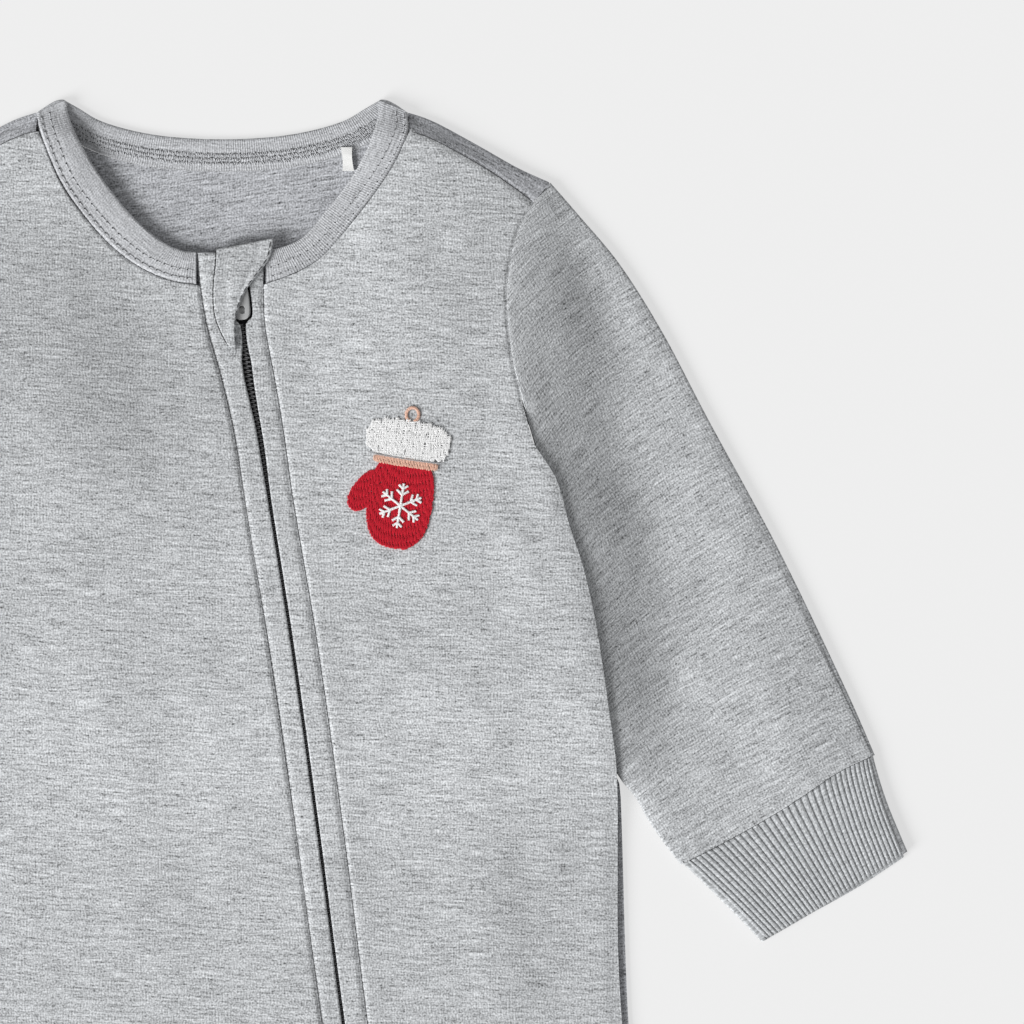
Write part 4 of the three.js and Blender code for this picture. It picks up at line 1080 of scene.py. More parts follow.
def sleeve_patch():
    """A sleeve's two faces. Its upper layer is as high as the body beside the seam, and has its own crown and
    folds beyond that. Both fall away at the folds and dip at the seams."""
    lines, along, share = sleeve_lines()
    x, down = lines[..., 0], lines[..., 1]
    from_seam = np.linalg.norm(lines - lines[:1], axis=-1)
    from_cuff = np.linalg.norm(lines - lines[-1:], axis=-1)
    from_outer = np.linalg.norm(lines - lines[:, :1], axis=-1)
    from_inner = np.linalg.norm(lines - lines[:, -1:], axis=-1)
    past = x - slope_start(down)
    folds = fold_height(SLEEVE_FOLDS, x, down)
    crown = 0.4 + 1.4 * ease((past - 30) / 36) + folds
    rounded = np.sin(np.pi / 2 * clamp(from_outer / 27)) * np.sin(np.pi / 2 * clamp(from_inner / 40))
    own = np.maximum(crown, 0.2) * rounded
    own = own + 0.4 * ease(from_outer / 2.5) * ease(from_inner / 5)
    beside_body = np.maximum(edge_lift(down) - 1.45 * ease((down - 90) / 9), 0.4) * ease((from_outer - 1) / 5)
    lift = mix(beside_body, own, ease(from_seam / 22) * np.ones_like(own))
    lift = lift + 0.3 * ease(1 - np.abs(from_cuff - 5) / 5) * ease(from_outer / 8) * ease(from_inner / 8)
    lift = lift - seam_dip(from_seam, 0.3, 0.6) - seam_dip(from_cuff, 0.45)
    lift = lift + pucker(from_cuff, from_outer, 0.12, 6.5, 6) + pucker(from_seam, down, 0.07, 9)
    lift = np.maximum(lift, 0)
    outer, inner = flat_ring(lines, lift, CLOTH)
    flat_x, flat_down = outer[..., 0] / MM, MIDDLE_DOWN - outer[..., 1] / MM
    c, s = math.cos(SLEEVE_GRAIN), math.sin(SLEEVE_GRAIN)
    twist = TWIST * np.exp(-np.maximum(flat_x - armhole_x(flat_down), 0) / TWIST_REACH)
    marks = np.stack([flat_x * c - flat_down * s, flat_x * s + flat_down * c - twist], axis=-1)
    return outer, inner, np.concatenate([marks, marks[:, :1]], axis=1)


def other_side(patch):
    """A patch that goes all the way round, on the other side of the garment."""
    outer, inner, marks = patch
    return (outer * [-1, 1, 1])[:, ::-1], (inner * [-1, 1, 1])[:, ::-1], marks[:, ::-1] * [-1, 1]


sleeve = sleeve_patch()
sleeve_left = finished(wall("sleeve_left_tube", sleeve), jersey_sleeve_shaded, "jersey", "sleeve_left")
sleeve_right = finished(
    wall("sleeve_right_tube", other_side(sleeve)), jersey_sleeve_shaded, "jersey", "sleeve_right"
)

# %% [markdown]
# ## Ribbed cuffs
#
# Rib knit draws itself in. Its raised wales are round and pale, with narrow dark furrows between them. At
# this size the wales are real shape, not bump: the upper layer's height goes up and down along each ring.
# The lower layer has shallow furrows too, and rests flat on its wales.

# %% Wrist and ankle cuffs
CUFF_RIBS, PLACES_PER_RIB, CUFF_ROWS = 36, 6, 18
RIB_HEIGHT = 0.44
CUFF_MARGIN = 1.9
# Direction from the sleeve's end into its cuff, as (x, down).
INTO_CUFF = np.array([0.49, 0.87])


def cuff_patch(outer_line, inner_line, bows, lip=0.0, seam_line=None):
    """A cuff between its two folded edges. A wale is the upper part of a circle: sqrt(1 - (2 t - 1)^2) for a
    share t of its pitch. The rows follow the curve of a seam at first and are straight further on."""
    rows = np.linspace(0, 1, CUFF_ROWS + 1)
    share = np.linspace(0, 1, CUFF_RIBS * PLACES_PER_RIB + 1)
    width = np.linalg.norm(outer_line[0] - inner_line[0])
    margin = CUFF_MARGIN / width
    share = np.concatenate([[0], share[(share > margin) & (share < 1 - margin)], [1]])
    lines = mix(outer_line[:, None], inner_line[:, None], share[None, :, None])
    lines = lines + bows[:, None] * np.sin(np.pi * share)[None, :, None]
    if seam_line is not None:
        lines = lines + (seam_line(share) - lines[0])[None] * ((1 - rows) ** 1.4)[:, None, None]
    turn = (share * CUFF_RIBS) % 1
    wale_height = RIB_HEIGHT * np.sqrt(np.maximum(1 - (2 * turn - 1) ** 2, 0)) * ease((share * width - 1) / 2)
    wale_height = wale_height * ease(((1 - share) * width - 1) / 2)
    crown = 0.2 * ease(share / 0.12) * ease((1 - share) / 0.12)
    length = np.linalg.norm(outer_line - outer_line[:1], axis=-1)
    to_end = length[-1] - length
    end_round = round_off(to_end, 1.3)
    start_round = seam_dip(length, 0.35, 0.8)
    slack = 0.1 * np.sin(np.linspace(0, 9, len(share)))[None] * ease(rows)[:, None]
    lift = (wale_height + crown)[None] - (end_round + start_round)[:, None] + slack
    lip_shift = unit(outer_line[-1] - outer_line[0]) * (lip * rows**6)[:, None]
    shift = lip_shift[:, None] * ease((0.75 - share) / 0.5)[None, :, None]
    outer, inner = flat_ring(lines, lift, RIB_CLOTH - 0.2, shift)
    upper = share[1:-1] * CUFF_RIBS * CUFF_PITCH
    folds = np.linspace(0, 2.2, FOLD_STEPS + 1)
    marks_x = np.concatenate([upper, CUFF_RIBS * CUFF_PITCH + folds, upper[::-1], -folds[::-1], [upper[0]]])
    marks = np.stack(np.broadcast_arrays(marks_x[None], length[:, None]), axis=-1)
    return outer, inner, marks


def wrist_patch():
    """The wrist cuff: its first row follows the curved end of the sleeve."""

    def sewn_to(s):
        """Places along the sleeve's end, moved into the cuff by the seam's half gap."""
        return spline(SLEEVE_END, mix(0.022, 0.98, s)) + INTO_CUFF * 0.16

    share = np.linspace(0, 1, CUFF_ROWS + 1)
    out = spline(WRIST_CUFF, share, "out_x", "out_down")
    into = spline(WRIST_CUFF, share, "in_x", "in_down")
    return cuff_patch(out, into, spline(WRIST_CUFF, share, "bow_x", "bow_down"), 0.9, sewn_to)


def ankle_patch():
    """The ankle cuff, straight and a little narrower than the leg."""
    share = np.linspace(0, 1, CUFF_ROWS + 1)
    start = LEG_END + SEW_GAP
    wide, inside = front_side_x(LEG_END), inseam_x(LEG_END)
    down = start + ANKLE_CUFF * share
    out = np.stack([mix(wide - 1.8, wide - 6, share), down], axis=-1)
    into = np.stack([mix(inside + 1.8, inside + 6.5, share), down], axis=-1)
    return cuff_patch(out, into, np.zeros((len(share), 2)))


for where, patch in (("wrist", wrist_patch()), ("ankle", ankle_patch())):
    for side, turned in (("left", patch), ("right", other_side(patch))):
        node = f"{where}_cuff_{side}"
        finished(wall(node + "_rib", turned), cuff_rib, "rib", node)

# %% [markdown]
# ## Neck binding
#
# The neck is bound with one strip of fine rib, folded over the raw edge and fastened with two rows of
# stitches. The strip runs from the zip over one shoulder, along the back and over the other shoulder to
# the zip again. It is a section carried along that path. At the shoulders the path folds under, with the
# same half circle as the back.

# %% The neck binding
BINDING_ACROSS, FRONT_SECTIONS, BACK_SECTIONS = 22, 120, 64
# Distances of the two stitched rows from the outer seam.
STITCH_ROWS = (1.5, 4.1)
NECK_FRONT_RIGHT_WHOLE = {
    key: np.append(values, NECK_FRONT_LEFT[key][-1]) for key, values in NECK_FRONT_RIGHT.items()
}


def binding_grids():
    """The binding's outer and inner face from one end at the zip to the other, and the shares across it."""
    across_share = steps(BINDING_ACROSS, 0.75)
    reach = RIB_CLOTH + LAYER_GAP / 2

    def over(rows, sign):
        """A stretch on the front. Across it the strip swells, with a ridge at the seam and a furrow at each
        row of stitches."""
        share = np.linspace(0, 1, FRONT_SECTIONS)
        edge, seam, _ = neck_line(rows, share, 0, sign)
        p = mix(edge[:, None], seam[:, None], across_share[None, :, None])
        wide = np.linalg.norm(seam - edge, axis=-1)[:, None]
        from_edge, from_seam = across_share * wide, (1 - across_share) * wide
        lifted = plain_lift(p[..., 0], np.maximum(p[..., 1], 12)) - NECK_LIFT
        rise = np.maximum(lifted, 0) * ease((p[..., 1] - 20) / 25)
        base = TOP_LAYER + 0.4 + rise + neck_stand(p[..., 0], p[..., 1])
        swell = 0.3 * np.sin(np.pi * across_share) + 0.24 * np.exp(-(((from_seam - 0.9) / 0.6) ** 2))
        furrow = 0.16 * np.exp(-(((from_seam - 1.9) / 0.45) ** 2))
        furrow = furrow + 0.12 * np.exp(-(((from_seam - STITCH_ROWS[1]) / 0.5) ** 2))
        fade = ease(np.minimum(share, 1 - share) * 12)[:, None]
        fallen = round_off(from_edge, 0.7) + seam_dip(from_seam, 0.4, 0.4)
        top = base + RIB_CLOTH + (swell - furrow) * fade - fallen
        low = base + round_off(from_edge, 0.7) * 0.9
        return place(p[..., 0], p[..., 1], top), place(p[..., 0], p[..., 1], low)

    def fold(sign):
        """The strip's turn over the shoulder: a half circle that bulges out between its two edges."""
        edge, seam, _ = neck_line(NECK_BACK, np.array([0.0]), 0)
        p = mix(edge, seam, across_share[:, None])
        way = unit(seam - edge)[0]
        out = np.array([way[1], -way[0]])
        turn = np.linspace(np.pi / 2, -np.pi / 2, FOLD_STEPS + 1)[:, None]
        made = []
        for radius in (reach, LAYER_GAP / 2):
            bulge = 1.1 * np.cos(turn) ** 2 * np.sin(np.pi * across_share**0.6)[None]
            q = p[None] + out * (bulge + radius * np.cos(turn) - reach)[..., None]
            made.append(place(sign * q[..., 0], q[..., 1], reach + radius * np.sin(turn)))
        return made

    def under(sign, share):
        """A stretch on the back, seen from inside the neck."""
        edge, seam, _ = neck_line(NECK_BACK, share, 0, sign)
        p = mix(edge[:, None], seam[:, None], across_share[None, :, None])
        wide = np.linalg.norm(seam - edge, axis=-1)[:, None]
        rounded = round_off(across_share * wide, 0.7)
        hem = 0.18 * np.exp(-(((across_share * wide - 1.6) / 1.6) ** 2))
        top = RIB_CLOTH + hem - rounded - 0.28 * ease((across_share * wide - 6.5) / 2)
        return place(p[..., 0], p[..., 1], rounded * 0.5), place(p[..., 0], p[..., 1], top)

    right, left = over(NECK_FRONT_RIGHT_WHOLE, -1), over(NECK_FRONT_LEFT, 1)
    back_share = np.linspace(0, 1, BACK_SECTIONS)[1:]
    parts = [
        right, fold(-1), under(-1, back_share), [g[::-1] for g in under(1, back_share[:-1])],
        [g[::-1] for g in fold(1)], [g[::-1] for g in left],
    ]
    outer_face, inner_face = (np.concatenate(face) for face in zip(*parts))
    return outer_face, inner_face, across_share


binding_outer, binding_inner, binding_share = binding_grids()
binding_line = binding_outer[:, BINDING_ACROSS // 2]
binding_run = np.concatenate([[0], np.cumsum(np.linalg.norm(np.diff(binding_line, axis=0), axis=1))]) / MM
binding_wide = np.linalg.norm(binding_outer[:, -1] - binding_outer[:, 0], axis=-1) / MM
binding_marks = np.stack(
    np.broadcast_arrays(binding_run[:, None], binding_share[None] * binding_wide[:, None]), axis=-1
)
binding = wall("neck_binding_strip", (binding_outer, binding_inner, binding_marks))
finished(binding, binding_rib, "rib", "neck_binding")
print("binding", round(binding_run[-1]), "mm long and", round(float(binding_wide.mean()), 1), "mm wide")

# %% [markdown]
# ## Strips beside the zip
#
# Two narrow folds of jersey hide the zip's tape. Their inner edges are folds, so they are round, and
# between them a slit shows the dark teeth. Near the neck the slit opens a little round the slider.

# %% The strips beside the zip
CHAIN_LEVEL = TOP_LAYER + 0.6 + LAYER_GAP
CHAIN_THICK = 0.9
STRIP_LEVEL = CHAIN_LEVEL + CHAIN_THICK + LAYER_GAP


def zip_strip(outer_curve, inner_curve, start, sign):
    """A strip from its outer seam to its folded inner edge. It rises from the front's level to its own."""
    downs = mix(start, LEG_END, np.linspace(0, 1, 300) ** 1.25)[:, None]
    share = steps(16, 0.8)[None]
    outer_x, inner_x = outer_curve(downs) + sign * SEWN, inner_curve(downs)
    x = mix(outer_x, inner_x, share)
    wide = np.abs(outer_x - inner_x)
    from_seam, from_fold = share * wide, (1 - share) * wide
    rise = mix(TOP_LAYER + ZIP_LIFT, STRIP_LEVEL, ease(share * 1.25)) + 0.15 * np.sin(downs / 17)
    wave = 0.12 * np.sin(downs / 9 + sign) * share + pucker(from_seam, downs, 0.1)
    top = rise + CLOTH + wave - seam_dip(from_seam, 0.55) - round_off(from_fold, 0.55)
    top = top - round_off(downs - start, 0.6)
    low = np.minimum(rise + round_off(from_fold, 0.55), top - 0.1)
    down = np.broadcast_to(downs, x.shape)
    return place(x, down, top), place(x, down, low), np.stack([x, down], axis=-1)


strip_right_grid = zip_strip(zip_right, lambda d: zip_centre(d) - slit_right(d), 46.9, 1)
strip_left_grid = zip_strip(zip_left, lambda d: zip_centre(d) + slit_left(d), 46.4, -1)
strip_right = finished(wall("zip_strip_right", strip_right_grid), jersey, "jersey", "zip_placket_right")
strip_left = finished(wall("zip_strip_left", strip_left_grid), jersey, "jersey", "zip_placket_left")

# %% [markdown]
# ## The zip
#
# A coil zip has two nylon spirals sewn to woven tape. Where it is closed the turns of one spiral lie
# between those of the other. Each turn is a short arched bar here, with only a few faces, because there
# are hundreds of them. Arched bars of other sizes also make every stitch, so one function serves for all.

# %% Short arched bars: zip teeth and stitches
TUBE_SIDES = 6


def bars(name, starts, ends, radius, rise=0.0, parts=5, sides=TUBE_SIDES):
    """Many round bars in one mesh. A bar's middle line goes straight from start to end, and rises by rise *
    sin(pi t). Its radius is radius * (1 - (2 t - 1)^6), so both ends close in a point. All lengths are in
    metres."""
    count = len(starts)
    t = np.linspace(0, 1, parts + 1)
    way = ends - starts
    line = starts[:, None] + way[:, None] * t[None, :, None]
    arch = np.sin(np.pi * t)
    up = np.array([0, 0, 1.0])
    line = line + (np.broadcast_to(rise, count)[:, None] * arch[None])[..., None] * up
    tangent = unit(np.gradient(line, axis=1))
    across_bar = unit(np.cross(np.broadcast_to(up, tangent.shape), tangent))
    above = np.cross(tangent, across_bar)
    turn = 2 * np.pi * np.arange(sides) / sides
    thickness = np.broadcast_to(radius, count)[:, None] * (1 - (2 * t[1:-1] - 1) ** 6)[None]
    ring = (
        across_bar[:, 1:-1, None] * np.cos(turn)[None, None, :, None]
        + above[:, 1:-1, None] * np.sin(turn)[None, None, :, None]
    )
    rings = line[:, 1:-1, None] + ring * thickness[:, :, None, None]
    each = (parts - 1) * sides + 2
    points = np.concatenate([rings.reshape(count, -1, 3), line[:, :1], line[:, -1:]], axis=1)
    ids = np.arange((parts - 1) * sides).reshape(parts - 1, sides)
    ids = np.concatenate([ids, ids[:, :1]], axis=1)
    tubes = corners_of(ids).reshape(-1, 4)
    first_pole, last_pole = each - 2, each - 1
    cap = np.stack([np.full(sides, first_pole), ids[0, :-1], ids[0, 1:], ids[0, 1:]], axis=1)
    end_cap = np.stack([np.full(sides, last_pole), ids[-1, 1:], ids[-1, :-1], ids[-1, :-1]], axis=1)
    faces = np.concatenate([tubes, cap, end_cap])
    faces = (faces[None] + (np.arange(count) * each)[:, None, None]).reshape(-1, 4)
    return build(name, points.reshape(-1, 3), faces)


# %% Tape, coil, slider and pull tab
TAPE_HALF, TAPE_TOP, CHAIN_TOP, ZIP_END = 6.2, 57.0, 68.2, 528.0
TOOTH_PITCH, TOOTH_RADIUS = 1.3, 0.27


def tape_grid():
    """The tape: a level band on both sides of the zip's centre, with a slow wave along it."""
    downs = np.linspace(TAPE_TOP, ZIP_END, 240)[:, None]
    share = np.linspace(0, 1, 9)[None]
    x = zip_centre(downs) + mix(-TAPE_HALF, TAPE_HALF, share)
    down = np.broadcast_to(downs, x.shape)
    level = TOP_LAYER + 0.05 * np.sin(downs / 11) * np.sin(np.pi * share)
    return place(x, down, level + 0.6), place(x, down, level), np.stack([x, down], axis=-1)


tape = finished(wall("zip_tape_weave", tape_grid()), woven_tape, "zip_tape", "zip_tape")


def coil():
    """Turns from both sides in order down the zip: each reaches over the middle, and its neighbour comes from
    the other side."""
    downs = np.arange(CHAIN_TOP + 0.6, ZIP_END - 4, TOOTH_PITCH / 2)
    sign = np.where(np.arange(len(downs)) % 2, 1.0, -1.0)
    middle = zip_centre(downs)
    outer = place(middle + sign * 1.5, downs + 0.12 * sign, CHAIN_LEVEL + 0.3)
    inner = place(middle - sign * 0.55, downs, CHAIN_LEVEL + 0.42)
    return bars("zip_coil_turns", outer, inner, TOOTH_RADIUS * MM, 0.22 * MM, 5, 6)


coil_turns = finished(coil(), coil_plastic, "zip_teeth", "zip_chain")


def rounded_outline(width, length, radius, count=64):
    """Points round a rectangle with round corners, from the middle of its right side: a square's outline in
    polar steps, drawn in to its corner circles."""
    turn = 2 * np.pi * np.arange(count) / count
    ray = np.stack([np.cos(turn), np.sin(turn)], axis=-1)
    power = 2 + 6 * (1 - radius / (min(width, length) / 2))
    size = (np.abs(ray[:, 0]) ** power + np.abs(ray[:, 1]) ** power) ** (-1 / power)
    return ray * size[:, None] * [width / 2, length / 2]


def plate_with_hole(name, outline, hole, low, thick, bevel, turn, centre):
    """A plate with a hole: its section, with round corners, is carried once round between the hole and the
    outline."""
    corner = np.linspace(0, np.pi / 2, 4)
    inset = bevel * (1 - np.cos(corner))
    drop = bevel * (1 - np.sin(corner))
    out_share = np.concatenate([inset[::-1], inset])
    heights = np.concatenate([low + drop[::-1], low + thick - drop])
    outer_side = outline[:, None] * (1 - out_share / np.abs(outline).max())[None, :, None]
    middle = hole.mean(axis=0)
    hole_share = out_share / np.abs(hole - middle).max()
    inner_side = middle + (hole - middle)[:, None] * (1 + hole_share)[None, ::-1, None]
    flat_points = np.concatenate([outer_side, inner_side], axis=1)
    z = np.concatenate([heights, heights[::-1]])[None] + 0 * flat_points[..., 0]
    c, s = math.cos(turn), math.sin(turn)
    x = centre[0] + flat_points[..., 0] * c - flat_points[..., 1] * s
    down = centre[1] - (flat_points[..., 0] * s + flat_points[..., 1] * c)
    points = place(x, down, z)
    ids = np.arange(points.shape[0] * points.shape[1]).reshape(points.shape[:2])
    ids = np.concatenate([ids, ids[:, :1]], axis=1)
    ids = np.concatenate([ids, ids[:1]], axis=0)
    return build(name, points.reshape(-1, 3), corners_of(ids).reshape(-1, 4))


LEAN = math.atan(0.11)
SLIDER_THICK = 1.9
SLIDER_CENTRE, PULL_CENTRE = (5.4, 62.2), (5.6, 61.1)
slider_body = plate_with_hole(
    "zip_slider_body", rounded_outline(6, 9.6, 1.8), rounded_outline(1.2, 2.4, 0.5), CHAIN_LEVEL,
    SLIDER_THICK, 0.45, LEAN, SLIDER_CENTRE,
)
finished(slider_body, enamel, "zip_metal", "zip_slider")
hole = rounded_outline(1.6, 2.2, 0.5) + [0.1, -3.2]
pull_tab = plate_with_hole(
    "zip_pull_tab", rounded_outline(5, 12.4, 1.9), hole, CHAIN_LEVEL + SLIDER_THICK + LAYER_GAP,
    0.8, 0.3, LEAN, PULL_CENTRE,
)
finished(pull_tab, enamel, "zip_metal", "zip_pull")

# %% [markdown]
# ## Guard and tab
#
# A small flap of jersey covers the top of the zip, so that the slider can't touch a chin. It bulges over
# the pull tab tucked under it. The white tab is a folded satin ribbon caught in the back neck seam.

# %% The guard flap and the neck tab


def guard_grid():
    """The flap between its two edges: it rises over the pull, is round at three edges and has a crease near
    the right one."""
    rows = np.linspace(0, 1, 64)
    left = spline(GUARD, rows, "left_x", "left_down")[:, None]
    right = spline(GUARD, rows, "right_x", "right_down")[:, None]
    share = steps(34, 0.75)[None, :, None]
    p = mix(left, right, share)
    x, down = p[..., 0], p[..., 1]
    over_pull = ease((down - 48) / 6) * ease((76 - down) / 6) * ease((x - 1) / 2.5)
    base = STRIP_LEVEL + CLOTH + 0.45 + 0.55 * over_pull
    edges = edge_distances(p)
    round_edges = sum(round_off(d, 0.6) for d in (edges[0], edges[1], edges[2]))
    crease_at = mix(4.4, 1.0, ease((down - 47) / 16))
    crease = 0.3 * np.exp(-(((edges[1] - crease_at) / 0.45) ** 2)) * ease((66 - down) / 10)
    top = base + CLOTH - np.minimum(round_edges, 0.58) - crease + 0.1 * np.sin(down / 4.2)
    low = np.minimum(base + np.minimum(round_edges, 0.58), top - 0.05)
    return place(x, down, top), place(x, down, low), p


guard_grids = guard_grid()
guard = finished(wall("zip_guard_flap", guard_grids), jersey_guard_shaded, "jersey", "zip_guard")


def tab_grid():
    """The tab: a short ribbon, narrower at its middle, whose free side stands up a little."""
    along = np.linspace(0, 1, 26)[:, None]
    share = np.linspace(0, 1, 11)[None]
    half = 1.75 - 0.3 * np.sin(np.pi * along)
    x = 37.4 + 0.6 * along + mix(-half, half, share)
    down = 15.2 + 7.2 * along + 0 * share
    low = RIB_CLOTH + LAYER_GAP + 0.5 * np.sin(np.pi * along) * share + 0 * x
    return place(x, down, low + 0.5), place(x, down, low), np.stack([x, down], axis=-1)


neck_tab = finished(wall("neck_tab_ribbon", tab_grid()), ribbon, "label", "neck_label")

# %% [markdown]
# ## Stitches
#
# Seams are what tell a sewn thing from a moulded one. The binding has two rows of stitches round the
# front, and a band of looper thread inside the back neck. The guard has one row along its edge. Each
# stitch is a bar laid on the surface it holds. The needle holes, the looper's holes and the guard's row
# are dark bars of painted shadow.

# %% Rows of stitches
rng = np.random.default_rng(8)
# Distances of the looper's rows from the neck edge, inside the back.
LOOPER_ROWS = (4.3, 5.6, 6.9)


def along_line(line, length, gap, wander=0.0, shift=0.0):
    """Starts and ends of stitches of one length along a line, with gaps between them."""
    run = np.concatenate([[0], np.cumsum(np.linalg.norm(np.diff(line, axis=0), axis=1))])
    start = np.arange(max(gap, 0) + shift, run[-1] - length, length + gap)
    start = start + rng.uniform(-wander, wander, len(start))

    def at(s):
        return np.stack([np.interp(s, run, line[:, k]) for k in range(3)], axis=1)

    return at(start), at(start + length)


def binding_at(rows, from_seam, lift):
    """Points on the binding's outer face at a distance in from its outer seam, raised by a little."""
    wanted = 1 - from_seam / binding_wide[rows.astype(int)]
    columns = np.interp(wanted, binding_share, np.arange(len(binding_share)))
    return on_grid(binding_outer, rows, columns) + [0, 0, lift * MM]


def binding_rows(name, length, gap, shift, radius):
    """Two rows of stitches on each front stretch of the binding."""
    count, reach = len(binding_outer), FRONT_SECTIONS - 2.0
    stretches = np.arange(2.0, reach, 0.5), np.arange(count - reach, count - 3.0, 0.5)
    starts, ends = [], []
    for rows in stretches:
        for from_seam in STITCH_ROWS:
            line = binding_at(rows, from_seam, 0.07)
            a, b = along_line(line, length, gap, 0.08 * MM, shift)
            starts.append(a)
            ends.append(b)
    return bars(name, np.concatenate(starts), np.concatenate(ends), radius * MM, 0.06 * MM)


def looper_band(name, length, gap, lean, radius):
    """Three rows of short slanting threads inside the back neck, at uneven steps. Each leans over from its
    row."""
    first = FRONT_SECTIONS + FOLD_STEPS + 2
    last = len(binding_outer) - first - 1
    starts, ends = [], []
    for from_edge in LOOPER_ROWS:
        rows = np.arange(first, last, gap) + from_edge
        rows = np.clip(rows + rng.uniform(-0.3, 0.3, len(rows)) * gap, first - 1, last)
        near = from_edge + rng.uniform(-0.3, 0.3, len(rows))
        for ends_here, along, across_here in ((starts, 0.0, 0.0), (ends, lean, length)):
            at = rows + along
            wanted = (near + across_here) / binding_wide[at.astype(int)]
            place_across = np.interp(wanted, binding_share, np.arange(len(binding_share)))
            ends_here.append(on_grid(binding_inner, at, place_across) + [0, 0, 0.1 * MM])
    return bars(name, np.concatenate(starts), np.concatenate(ends), radius * MM, 0.05 * MM, 4, 5)


def guard_row():
    """One row of stitches just inside the guard's right edge, drawn as dark bars of painted shadow."""
    line = on_grid(guard_grids[0], np.linspace(1, 60, 120), np.full(120, 29.0))
    starts, ends = along_line(line + [0, 0, 0.1 * MM], 1.9 * MM, 0.7 * MM, 0.1 * MM)
    return bars("guard_stitch_shadows", starts, ends, 0.15 * MM, 0.06 * MM)


coverstitch = finished(
    binding_rows("binding_coverstitch", 1.9 * MM, 0.5 * MM, 0.0, 0.15), pale_thread, "sewing_thread"
)
# Painted shadow: dark bars stand for the shade in the needle holes.
needle_hole_shadows = finished(
    binding_rows("binding_needle_hole_shadows", 0.55 * MM, 1.85 * MM, -0.05 * MM, 0.2), painted_shadow_thread, "sewing_thread"
)
looper = finished(looper_band("back_neck_looper", 1.1, 0.55, 0.35, 0.13), pale_thread, "sewing_thread")
# Painted shadow: dark bars stand for the shade in the looper's holes.
looper_hole_shadows = finished(
    looper_band("back_neck_looper_hole_shadows", 0.5, 0.85, 0.25, 0.15), painted_shadow_thread, "sewing_thread"
)
# Painted shadow: the guard's row of stitches is near-black, as the shade of its furrow.
guard_stitch_shadows = finished(guard_row(), painted_shadow_thread, "sewing_thread")

# %% Painted shadow in the depth of the seams, drawn as dark thread


def seam_line(name, radius, look, *lines):
    """Stitches end to end along lines of (x, down, height), as one piece: dark bars of painted shadow in the
    seams and beside the guard.
    """
    starts, ends = zip(*[along_line(place(*line), 2.2 * MM, -0.15 * MM) for line in lines])
    made = bars(name, np.concatenate(starts), np.concatenate(ends), radius * MM, 0.0, 5, 5)
    return finished(made, look, "sewing_thread")


def both_sides(x, down, z):
    """A line and the same line on the other side of the centre."""
    return (x, down, z), (-x, down, z)


def front_seam_lines():
    """The lines of the seams that show on the front: armholes, neck, shoulders, strips and cuffs."""
    top = TOP_LAYER + CLOTH
    downs = np.linspace(27.5, 101, 160)
    x = side_x(downs) + 0.02
    arm = both_sides(x, downs, top + front_lift(x - 0.4, downs) - 0.5)
    neck = []
    for rows, sign in ((NECK_FRONT_LEFT, 1), (NECK_FRONT_RIGHT_WHOLE, -1)):
        p = neck_line(rows, np.linspace(0.01, 0.97, 160), 0, sign)[1]
        neck.append((p[:, 0], p[:, 1], top + front_lift(p[:, 0], p[:, 1] + 0.4) - 0.35))
    p = spline(SHOULDER, np.linspace(0.02, 0.99, 80), "seam_x", "seam_down")
    shoulder = both_sides(p[:, 0], p[:, 1], top + front_lift(p[:, 0], p[:, 1] + 0.3) - 0.38)
    strips = []
    for curve in (zip_right, zip_left):
        d = np.linspace(47.5, LEG_END - 2, 500)
        strips.append((curve(d), d, top + ZIP_LIFT - 0.45 + 0 * d))
    p = spline(SLEEVE_END, np.linspace(0.03, 0.97, 100)) + INTO_CUFF * 0.08
    cuff_seam = both_sides(p[:, 0], p[:, 1], 2 * (CLOTH + LAYER_GAP / 2) + 0.35 + 0 * p[:, 0])
    return [*arm, *neck, *shoulder, *strips, *cuff_seam]


# Painted shadow: dark bars lie in the seams, where their depth is in shade.
seam_painted_shadows = seam_line("seam_painted_shadows", 0.13, painted_shadow_thread, *front_seam_lines())
# Painted shadow: a black bar lies along the guard's left edge, in the shaded gap under the strip's fold.
guard_line = spline(GUARD, np.linspace(0.03, 0.93, 80), "left_x", "left_down")
guard_height = STRIP_LEVEL + CLOTH + 0.25 + 0 * guard_line[:, 0]
guard_gap_shadow = seam_line(
    "guard_edge_painted_shadow", 0.24, painted_gap_shadow, (guard_line[:, 0] - 0.2, guard_line[:, 1], guard_height)
)

# %% [markdown]
# ## Embroidery
#
# The chest carries a small embroidered mitten that hangs from a loop, with a fluffy cuff and a snowflake.
# A machine fills such a shape in rows of short stitches over a loose underlay. The same is done here: rows
# are cut where the shape ends, and each row is cut into stitches. The snowflake, the band and the loop are
# satin: close parallel stitches across a line.

# %% The mitten
MOTIF_X, MOTIF_DOWN = 54.2, 115.0
MOTIF_TILT = math.radians(-9)
THREAD = 0.2
FILL_STEP, SHORTEST_STITCH = 0.1, 0.6
# Angle of the snowflake's first arm, in radians.
FIRST_ARM = 0.5236


def oval(x, y, cx, cy, half_x, half_y, power=2.0, turn=0.0):
    """True inside |u / half_x|^power + |v / half_y|^power < 1, about a centre and turned."""
    c, s = math.cos(turn), math.sin(turn)
    u, v = (x - cx) * c + (y - cy) * s, (y - cy) * c - (x - cx) * s
    return (np.abs(u / half_x) ** power + np.abs(v / half_y) ** power) < 1


def hand(x, y):
    """Inside the mitten's palm or its thumb, below the band."""
    palm = oval(x, y, 0.6, -6.6, 9.8, 14.6, 2.6)
    thumb = oval(x, y, -10.2, -5.2, 3.8, 7.2, 2.2, -0.5)
    return (palm | thumb) & (y < 4.6)


def band(x, y):
    """Inside the band between the hand and the fluff."""
    return oval(x, y, 0.4, 4.9, 9.8, 1.5, 5)


